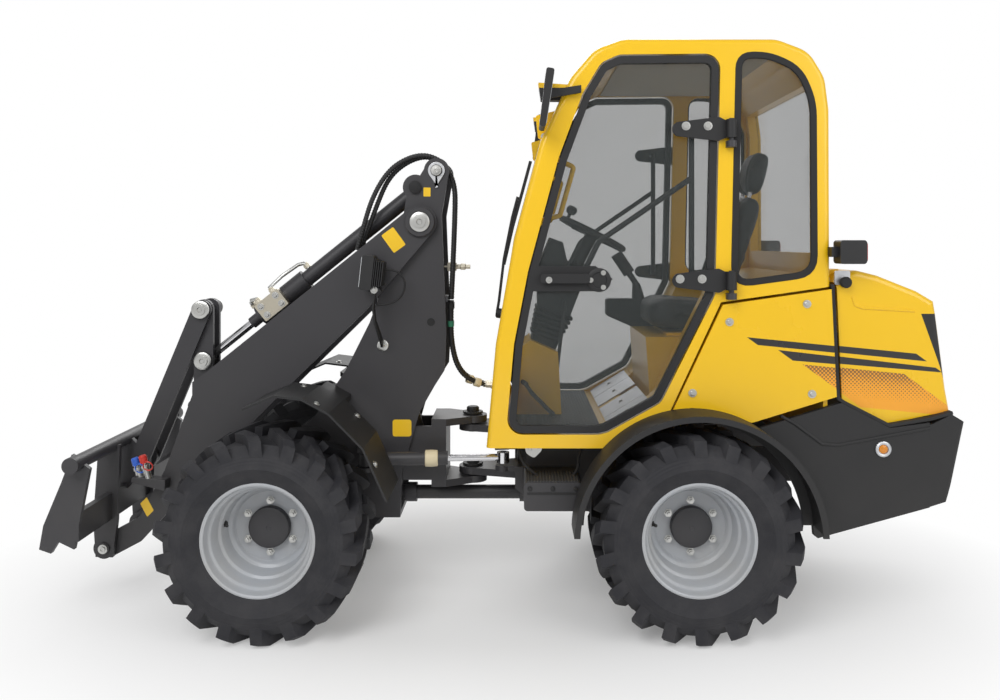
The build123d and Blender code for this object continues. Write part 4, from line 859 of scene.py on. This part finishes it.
for side, name in SIDES:
    shell = slab(lamp_outline(-0.004, 0.046, 0.072), 0.012, side, 0.203, 0.297)
    core = slab(lamp_outline(-0.04, 0.0, 0.052), 0.008, side, 0.22, 0.28)
    fins = [
        slab(lamp_outline(b, b + 0.0045, 0.05 + 0.3 * (b + 0.044)), 0.002, side, 0.206, 0.294)
        for b in np.arange(-0.044, -0.004, 0.0085)]
    foot = sweep(np.array(LAMP_FOOT) / 1000 * (1, side, 1), flat_section(0.034, 0.008), up=(1, 0, 0))
    yoke = slab([(0.492, 1.288), (0.548, 1.288), (0.54, 1.306), (0.5, 1.306)], 0.004, side, 0.222, 0.278)
    forms = [shell, core, *fins, yoke]
    body = make(f"work_lamp_{name}", forms, "black_plastic", "front_frame", smooth=False, bevel=0.0015)
    make(f"work_lamp_foot_{name}", foot, "black_plastic", "front_frame", bevel=0.0015)
    lens = slab(lamp_outline(0.044, 0.0495, 0.062), 0.01, side, 0.212, 0.288)
    make(f"work_lamp_lens_{name}", lens, "lamp_lens", "front_frame", smooth=False)
    pad = turned([(24, -0.5), (24, 4), (21, 6), (0, 6)], (0.504, side * 0.14, 1.052), side, 28)
    heads = [bolt((0.504, side * 0.146, 1.052), side, 0.01), bolt((0.52, side * 0.278, 1.296), side, 0.009)]
    make(f"work_lamp_bolts_{name}", [pad, *heads], "zinc", "front_frame")
    if side == 1:
        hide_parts("work_lights")
print("work lamps")

# %% [markdown]
# Hoses: ridged tubes on a smooth line through the same points as their solids.  The line is
# read from a NURBS spline, and the ridges are a sine of the length along it.

# %% Hoses


def hose_line(points):
    """Points along an order-3 NURBS spline, evenly spaced every 3 mm."""
    curve = bpy.data.curves.new("hose_route", "CURVE")
    curve.dimensions = "3D"
    spline = curve.splines.new("NURBS")
    spline.points.add(len(points) - 1)
    spline.points.foreach_set("co", np.column_stack([points, np.ones(len(points))]).ravel())
    spline.order_u = 3
    spline.use_endpoint_u = True
    spline.resolution_u = 24
    carrier = bpy.data.objects.new("hose_route", curve)
    mesh = bpy.data.meshes.new_from_object(carrier)
    line = np.empty(len(mesh.vertices) * 3)
    mesh.vertices.foreach_get("co", line)
    line = line.reshape(-1, 3)
    bpy.data.objects.remove(carrier)
    bpy.data.curves.remove(curve)
    bpy.data.meshes.remove(mesh)
    run = np.concatenate([[0.0], np.cumsum(np.linalg.norm(np.diff(line, axis=0), axis=1))])
    even = np.arange(0.0, run[-1], 0.003)
    return np.stack([np.interp(even, run, line[:, k]) for k in range(3)], 1)


def ridged_hose(points, radius):
    """Radius r (1 + 0.08 sin(2 pi s / 12 mm)) along the line."""
    line = hose_line(points)
    s = np.arange(len(line)) * 0.003
    return sweep(line, round_section(radius, 12), swell=1 + 0.08 * np.sin(2 * np.pi * s / 0.012))


OUTER = [
    (622, 1458), (594, 1562), (555, 1690), (486, 1804), (402, 1858), (322, 1872), (246, 1836), (203, 1752),
    (197, 1640), (216, 1243)]
INNER = [
    (608, 1466), (532, 1684), (480, 1785), (402, 1846), (322, 1868), (246, 1836), (203, 1752), (197, 1640),
    (216, 1243)]
TAIL = [(216, 0, 1240), (219, 0, 1140), (213, -2, 1040), (190, -14, 950), (140, -44, 890), (70, -70, 866)]
HOSE_R = 0.0105
over_tower = [
    ridged_hose(side_loop(np.array(OUTER) / 1000, 0.092), HOSE_R),
    ridged_hose(side_loop(np.array(INNER) / 1000, 0.063), HOSE_R)]
loops = make("hose_loops", over_tower, "hose_rubber", None, angle=1.2)
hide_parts("boom_hoses")
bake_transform(loops)
to_cab = [ridged_hose(np.array(TAIL) / 1000 + (0, y, 0), HOSE_R) for y in (0.092, 0.063)]
tails = make("hose_tails", to_cab, "hose_rubber", None, angle=1.2)
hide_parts("cab_hoses")
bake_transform(tails)
BAND = [
    (13.5, 0), (12.5, 8), (8, 12.5), (0, 13.5), (-8, 12.5), (-12.5, 8), (-13.5, 0), (-12.5, -8), (-8, -12.5),
    (0, -13.5), (8, -12.5), (12.5, -8)]
band = np.array(BAND) / 1000
band += np.sign(band) * (0.0, 0.0145)
for name, finish, z_low, z_high, x in (
    ("green_band", "green_tape", 1.128, 1.152, 0.2175), ("hose_sleeve", "black_rubber", 1.205, 1.232, 0.216)):
    ring = prism(band + (x, 0.0775), z_low, z_high, axis=2)
    make(name, ring, finish, "front_frame")
print("hoses", len(loops.data.vertices) + len(tails.data.vertices), "points")

# %% [markdown]
# Where the hoses end: a cream collar on each tail, a union on the cab's front wall, and a thin
# cable from each work lamp to its foot.

# %% Hose ends and lamp cables
END_WAY = np.array((70.0, 26.0, 24.0)) / np.linalg.norm((70.0, 26.0, 24.0))
COLLAR = [(11.2, 0), (18, 1), (19.5, 4), (19.5, 26), (18, 29), (11.2, 30)]
UNION = [(19, -2), (19, 10), (15, 11), (15, 30), (12.5, 32), (12.5, 44), (0, 44)]
TAIL_ENDS = [np.array((0.07, y - 0.07, 0.866)) for y in (0.092, 0.063)]
ends = zip(TAIL_ENDS, (0.024, 0.062))
collars = [turned(COLLAR, spot + END_WAY * reach, END_WAY, 28) for spot, reach in ends]
collars = make("tail_collars", collars, "cream_plastic", None)
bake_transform(collars)
unions = [turned(UNION, (0.0355, spot[1], spot[2]), (1.0, 0.0, 0.02), 6) for spot in TAIL_ENDS]
make("tail_unions", unions, "zinc_plate", "rear_frame", smooth=False)
LAMP_LOOP = [
    (383, 270, 0.25), (396, 269, 0.25), (406, 281, 0.245), (403, 296, 0.24), (390, 305, 0.24), (376, 305, 0.24)]
for side, name in SIDES:
    line = hose_line(np.array([seen(*spot) for spot in LAMP_LOOP]) * (1.0, side, 1.0))
    make(f"lamp_cable_{name}", sweep(line, round_section(0.0042, 8)), "black_rubber", "front_frame")
print("hose ends", len(unions))

# %% [markdown]
# Valves and fittings: a plated tap behind the tower, pipes on the tilt cylinder's valve, a
# cream collar on the steering cylinder and two capped couplers with their tethers.

# %% Fittings and pipes
block = prism(eased(rect(0.196, 1.366, 0.236, 1.404), 0.005), 0.02, 0.052)
STUB = [(12, 0), (12, 20), (16, 21), (16, 40), (11, 42), (11, 62), (0, 62)]
stub = turned(STUB, (0.198, 0.036, 1.385), (-1, 0, 0), 6)
bent = [(0.232, 0.036, 1.385), (0.262, 0.036, 1.385), (0.262, 0.127, 1.385)]
arm = sweep(bent, flat_section(0.022, 0.006), up=(0, 0, 1))
make("hose_tap", [block, stub, arm], "zinc_plate", "front_frame", smooth=False, bevel=0.001)
T_PIN, ROD_EYE = np.array((0.365, 1.727)), np.array((1.3, 0.975))
along = (ROD_EYE - T_PIN) / np.linalg.norm(ROD_EYE - T_PIN)
above = np.array((-along[1], along[0]))


def on_barrel(s, h, y):
    """A point s along the tilt cylinder, h above its axis and y across."""
    x, z = T_PIN + along * s + above * h
    return (x, y, z)


PIPES = [
    [(770, 30, 66), (770, 66, 66), (700, 72, 60), (620, 70, 30), (600, 62, 10), (598, 34, 4)],
    [(846, 30, 66), (846, 62, 66), (872, 74, 50), (888, 70, 20), (888, 44, 6)],
]
NUTS_AT = [(770, 40, 66), (846, 40, 66), (598, 36, 4), (888, 46, 6)]
PIPE_NUT = [(15, 0), (15, 16), (12, 18), (12, 24), (8.5, 25)]
tubes = []
for path in PIPES:
    line = [on_barrel(*p) for p in np.array(path) / 1000]
    tubes.append(sweep(line, round_section(0.008, 12), up=(0.3, 0.9, 0.3)))
up_way = (above[0], 0, above[1])
nuts = [turned(PIPE_NUT, on_barrel(*p), up_way, 6) for p in np.array(NUTS_AT) / 1000]
make("cylinder_pipes", tubes, "zinc", "tilt_barrel")
make("cylinder_nuts", nuts, "zinc_plate", "tilt_barrel", smooth=False)
PLUGS = [(0.768, 0.022), (0.848, 0.022), (0.768, -0.022), (0.848, -0.022)]
plugs = [bolt(on_barrel(s, h, 0.0863), 1, 0.009) for s, h in PLUGS]
make("valve_plugs", plugs, "zinc", "tilt_barrel")
steer = np.array((-0.57, -0.04, 0.0)) / math.hypot(0.57, 0.04)
spot = np.array((0.56, 0.24, 0.59)) + steer * 0.245
collar = turned([(28.5, 0), (34, 2), (35, 30), (33, 52), (28.5, 54)], spot, steer, 28)
make("steer_collar", collar, "cream_plastic", "steer_barrel")
for name, finish, x, z, y in (
    ("coupler_blue", "blue_cap", 1.52, 0.535, 0.204), ("coupler_red", "red_cap", 1.484, 0.548, 0.216)):
    way = np.array((0.28, 0.0, 0.96))
    body = turned([(14, -50), (14, 0), (17, 2), (17, 14), (13, 16), (13, 26)], (x, y, z), way, 20)
    cap = turned([(13.5, 22), (16.5, 23), (16.5, 50), (12, 56), (0, 57)], (x, y, z), way, 20)
    make(name + "_body", body, "zinc", "boom")
    make(name, cap, finish, "boom")
rack = prism(eased([(1.4, 0.455), (1.54, 0.49), (1.536, 0.512), (1.398, 0.5)], 0.005), 0.171, 0.23)
make("coupler_rack", rack, "dark_grey_paint", "boom", smooth=False, bevel=0.0015)
RING = np.linspace(0.0, 2 * np.pi, 32, endpoint=False)
for name, finish, spot in (
    ("tether_blue", "blue_cap", (1.506, 0.222, 0.548)), ("tether_red", "red_cap", (1.468, 0.234, 0.56))):
    loop = np.array(spot) + 0.0195 * np.stack([np.cos(RING), 0.35 * np.sin(RING), np.sin(RING)], 1)
    cord = sweep(loop, round_section(0.0028, 8), up=(0.3, 0.9, 0.1), closed=True)
    make(name, cord, finish, "boom")
print("fittings", len(tubes), "pipes", len(nuts), "nuts", len(plugs), "plugs")

# %% [markdown]
# The articulation: heavy nuts on the two pivot pins, a strap over the steering rod's eye, and
# below the cab a ribbed step, its seam, a mount and two cables.

# %% Articulation and step
PIVOT_X = 0.126
nuts = [bolt((PIVOT_X, 0.0, z), (0, 0, 1), 0.026) for z in (0.74, 0.514)]
make("pivot_nuts", nuts, "black_plastic", "front_frame", smooth=False)
bent = [(-0.069, 0.2, 0.672), (-0.046, 0.2, 0.67), (-0.032, 0.2, 0.632), (0.024, 0.2, 0.63)]
strap = sweep(bent, flat_section(0.01, 0.06))
make("eye_strap", strap, "dark_grey_paint", "rear_frame", smooth=False, bevel=0.002)
make("eye_bolt", bolt((-0.01, 0.2, 0.6352), (0, 0, 1), 0.014), "zinc", "rear_frame")
STEP_BACK, STEP_FRONT, STEP_TOP = -0.306, -0.108, 0.56
MOUNT, MOUNT_BOLTS = [(524, 441), (542, 441), (542, 450), (534, 458), (526, 453)], [(530, 449), (538, 447)]
CABLES = [[(517, 440), (519, 455), (527, 468), (539, 477)], [(585, 440), (577, 458), (579, 469), (571, 477.5)]]
for side, name in SIDES:
    flip = np.array((1.0, side, 1.0))
    tread = prism(rect(STEP_FRONT, STEP_TOP, STEP_BACK, STEP_TOP + 0.005), *across(side, 0.33, 0.484))
    make(f"step_tread_{name}", tread, "floor_mat", "rear_frame", smooth=False)
    line = [(STEP_FRONT, side * 0.49, 0.517), (STEP_BACK, side * 0.49, 0.517)]
    seam = sweep(line, flat_section(0.007, 0.006))
    places = np.linspace(STEP_FRONT - 0.01, STEP_BACK + 0.01, 3)
    heads = [bolt((x, side * 0.49, 0.536), side, 0.006) for x in places]
    make(f"step_seam_{name}", [seam, *heads], "black_plastic", "rear_frame")
    lines = [hose_line(seen_line(path, 0.4) * flip) for path in CABLES]
    wires = [sweep(line, round_section(0.006, 10)) for line in lines]
    make(f"cab_cables_{name}", wires, "black_rubber", "rear_frame")
    mount = slab(seen_line(MOUNT, 0.4)[:, [0, 2]], 0.012, side, 0.395, 0.405)
    heads = [bolt(spot, side, 0.007) for spot in seen_line(MOUNT_BOLTS, 0.405) * flip]
    make(f"cab_mount_{name}", [mount, *heads], "zinc", "rear_frame", smooth=False)
print("articulation and step")

# %% [markdown]
# At the cab's front: a wiper that lies on the screen, mirror glass, and a yellow bracket on
# each post.

# %% Wiper, mirrors, bracket
ARM = [(18, 1190), (10, 1235), (-12, 1420), (-48, 1600), (-72, 1690)]
BLADE = [(-12, 1395), (-50, 1560), (-92, 1712), (-128, 1845)]
arm = sweep(side_loop(np.array(ARM) / 1000, 0.06), flat_section(0.012, 0.016))
blade = sweep(side_loop(np.array(BLADE) / 1000, 0.06), flat_section(0.014, 0.012))
foot = turned([(20, -20), (22, 0), (22, 30), (15, 36), (0, 37)], (-0.012, 0.06, 1.18), (0.99, 0.0, 0.15), 24)
make("wiper", [arm, blade, foot], "black_plastic", "rear_frame", bevel=0.0012)
for side, name in SIDES:
    outline = [(-0.1765, 1.93), (-0.174, 1.93), (-0.201, 2.118), (-0.205, 2.118)]
    face = prism(outline, *across(side, 0.55, 0.672))
    make(f"mirror_glass_{name}", face, "mirror_face", "rear_frame", smooth=False)
    plate = slab([(-0.19, 1.885), (-0.15, 1.895), (-0.14, 1.985), (-0.222, 2.005)], 0.008, side, 0.468, 0.474)
    make(f"post_bracket_{name}", plate, "yellow_paint", "rear_frame", smooth=False)
    heads = [bolt((x, side * 0.474, z), side, 0.007) for x, z in ((-0.172, 1.905), (-0.166, 1.965))]
    make(f"post_bolts_{name}", heads, "zinc", "rear_frame")
print("cab front")

# %% [markdown]
# Inside the cab: a ribbed mat, plates on the sloping floor, pedals, a lever, the ribbed
# boot of the column, the wheel's knob, and a pale roof lining.

# %% Cab interior
mat = prism(rect(-0.066, 0.7545, -0.4, 0.7605), -0.47, 0.47)
make("floor_mat", mat, "floor_mat", "rear_frame", smooth=False)
slope_a, slope_b = np.array((-0.432, 0.7585)), np.array((-0.596, 0.8595))
rise = np.array((0.524, 0.852)) * 0.004
plates, heads = [], []
for low, high in ((0.03, 0.238), (0.244, 0.452), (-0.238, -0.03), (-0.452, -0.244)):
    plates.append(prism([slope_a, slope_b, slope_b + rise, slope_a + rise], low, high))
    mid = (slope_a + slope_b) / 2 + rise
    heads.append(bolt((mid[0], (low + high) / 2, mid[1]), (0.524, 0.0, 0.852), 0.006))
make("floor_plates", plates, "alu", "rear_frame", smooth=False, bevel=0.001)
make("floor_plate_screws", heads, "zinc", "rear_frame")
pedals = []
for y in (0.215, -0.215):
    plate = [(-0.1, y, 0.905), (-0.13, y, 0.862), (-0.205, y, 0.786), (-0.225, y, 0.77)]
    stem = [(-0.092, y - 0.06 * np.sign(y), 0.9), (-0.108, y, 0.898)]
    pedals += [sweep(plate, flat_section(0.012, 0.07)), sweep(stem, round_section(0.01))]
make("pedals", pedals, "black_rubber", "rear_frame", bevel=0.003)
lever = sweep([(-0.268, 0.082, 1.24), (-0.272, 0.112, 1.22), (-0.236, 0.128, 0.905)], round_section(0.0075, 12))
BALL = [(0, -18), (12, -14), (17.5, -3), (16.5, 7), (10, 16), (0, 19)]
ball = turned(BALL, (-0.235, 0.128, 0.89), (0.1, 0, -1), 24)
make("column_lever", [lever, ball], "grip_black", "rear_frame")
boot = []
for n in range(6):
    k = n / 5
    front, back = -0.136 - 0.02 * k, -0.252 - 0.052 * k
    ring = eased([(front, 0.086), (front, -0.086), (back, -0.086), (back, 0.086)], 0.03)
    tilt = 1.085 + 0.022 * n + (ring[:, 0] + 0.2) * 0.35
    boot.append(sweep(np.column_stack([ring, tilt]), round_section(0.009, 8), up=(0, 0, 1), closed=True))
make("column_boot", boot, "black_rubber", "rear_frame")
axis = np.array((-0.454, 0.0, 0.891))
rim_spot = np.array((-0.402, 0.0, 1.53)) + 0.128 * np.array((0.891, 0.0, 0.454)) + 0.008 * axis
knob = turned([(8, 0), (8, 22), (18, 26), (24, 38), (24, 50), (17, 60), (0, 63)], rim_spot, axis, 28)
make("wheel_knob", knob, "grip_black", "rear_frame")
lining = prism(eased(rect(-0.48, 2.2135, -1.065, 2.2215), 0.002), -0.47, 0.47)
make("roof_lining", lining, "pale_lining", "rear_frame", smooth=False)
print("cab interior")

# %% [markdown]
# The seat takes most care: cushion, back and headrest are crowned pads.  Each starts as a
# rounded box |x|^p + |y|^p + |z|^p = 1, is swollen by a cloth simulation with a little
# pressure, and gets its sewn channels afterwards, because the remesh would erase them.

# %% Seat pads as rounded boxes


def pad(name, middle, half, lean, facing, power, bolster):
    """Rounded box in the pad's own axes (length, width, thickness), leaned back, sides raised."""
    rows, cols = 33, 56
    u, v = np.linspace(0, 2 * np.pi, cols, endpoint=False), np.linspace(-np.pi / 2, np.pi / 2, rows)[:, None]

    def bend(value):
        return np.sign(value) * np.abs(value) ** power

    a, b = bend(np.cos(v)) * bend(np.cos(u)), bend(np.cos(v)) * bend(np.sin(u))
    c = np.broadcast_to(bend(np.sin(v)), a.shape)
    rise = np.where(c > 0, c * (1 + bolster * np.abs(b) ** 3), c)
    waist = 1 - 0.05 * (1 - np.abs(a) ** 2)
    local = np.stack([a * half[0], b * half[1] * waist, rise * half[2]], -1).reshape(-1, 3)
    length = np.array((math.cos(lean), 0, math.sin(lean)))
    thick = np.array((-math.sin(lean), 0, math.cos(lean))) * facing
    points = np.asarray(middle) + local[:, :1] * length + local[:, 1:2] * (0, 1, 0) + local[:, 2:] * thick
    piece = make(name, (points, grid_faces(rows, cols)), "seat_vinyl", "rear_frame", angle=2.5)
    return piece, length, thick


print("rounded box ready")

# %% [markdown]
# The cloth works on an even remesh of the pad, and a cap keeps it from swelling too far.
# The channels then sink along the normals.

# %% Plumping and sewing


def plump(piece, cap):
    """Cloth pressure swells the pad; no point moves further than cap."""
    shape = piece.modifiers.new("even", "REMESH")
    shape.mode, shape.voxel_size = "VOXEL", 0.006
    bpy.context.view_layer.update()
    even = bpy.data.meshes.new_from_object(piece.evaluated_get(bpy.context.evaluated_depsgraph_get()))
    piece.modifiers.clear()
    even.materials.clear()
    even.materials.append(look["seat_vinyl"])
    piece.data = even
    cloth = piece.modifiers.new("cloth", "CLOTH")
    cloth.settings.use_pressure = True
    cloth.settings.uniform_pressure_force = 4.0
    cloth.settings.effector_weights.gravity = 0.0
    start = np.empty(len(even.vertices) * 3)
    even.vertices.foreach_get("co", start)
    for number in range(1, 21):
        scene.frame_set(number)
    swollen = piece.evaluated_get(bpy.context.evaluated_depsgraph_get()).data
    moved = np.empty_like(start)
    swollen.vertices.foreach_get("co", moved)
    piece.modifiers.clear()
    scene.frame_set(1)
    step = (moved - start).reshape(-1, 3)
    far = np.linalg.norm(step, axis=1)[:, None]
    step *= np.minimum(1.0, cap / np.maximum(far, 1e-9))
    even.vertices.foreach_set("co", (start.reshape(-1, 3) + step).ravel())
    even.polygons.foreach_set("use_smooth", [True] * len(even.polygons))


def sewn(piece, middle, length, thick, cross_lines, side_lines, depth):
    """Channels: each point sinks by depth exp(-(distance / 5 mm)^2) along its normal."""
    mesh = piece.data
    count = len(mesh.vertices)
    co, normal = np.empty(count * 3), np.empty(count * 3)
    mesh.vertices.foreach_get("co", co)
    mesh.vertices.foreach_get("normal", normal)
    co, normal = co.reshape(-1, 3), normal.reshape(-1, 3)
    local = co - np.asarray(middle)
    a, b, front = local @ length, local[:, 1], np.clip(normal @ thick, 0, 1)
    sink = np.zeros(count)
    for line in cross_lines:
        sink += np.exp(-((a - line) / 0.005) ** 2) * (np.abs(b) < max(side_lines, default=1.0))
    for line in side_lines:
        sink += np.exp(-((np.abs(b) - line) / 0.005) ** 2)
    co = co - normal * (np.clip(sink, 0, 1) * front * depth)[:, None]
    mesh.vertices.foreach_set("co", co.ravel())
    mesh.update()
    soft = piece.modifiers.new("soft", "SUBSURF")
    soft.levels = soft.render_levels = 1


print("cloth and channels ready")

# %% [markdown]
# Three pads make the seat, and two plated posts carry its headrest.

# %% Seat
SEAT = [
    ("seat_cushion", (-0.788, 0, 1.18), (0.168, 0.205, 0.056), 4.0, 1, 0.42, 0.3, (-0.06, 0.05), (0.125,)),
    ("seat_backrest", (-1.006, 0, 1.47), (0.232, 0.2, 0.038), 109.0, -1, 0.42, 0.55, (-0.1, 0, 0.1), (0.12,)),
    ("seat_headrest", (-1.112, 0, 1.792), (0.092, 0.115, 0.036), 104.0, -1, 0.5, 0.25, (), (0.07,)),
]
for name, middle, half, lean, facing, power, bolster, cross, sides in SEAT:
    piece, length, thick = pad(name, middle, half, math.radians(lean), facing, power, bolster)
    plump(piece, 0.008)
    sewn(piece, middle, length, thick, cross, sides, 0.006)
    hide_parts("seat")
    print(name, len(piece.data.vertices))
posts = [sweep([(-1.072, y, 1.66), (-1.092, y, 1.74)], round_section(0.009)) for y in (0.06, -0.06)]
make("headrest_posts", posts, "chrome_rod", "rear_frame")

# %% [markdown]
# Last, the dressed machine's box is printed.

# %% Size and finish
low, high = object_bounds()
print("visual box", [round(h - l, 3) for l, h in zip(low, high)])
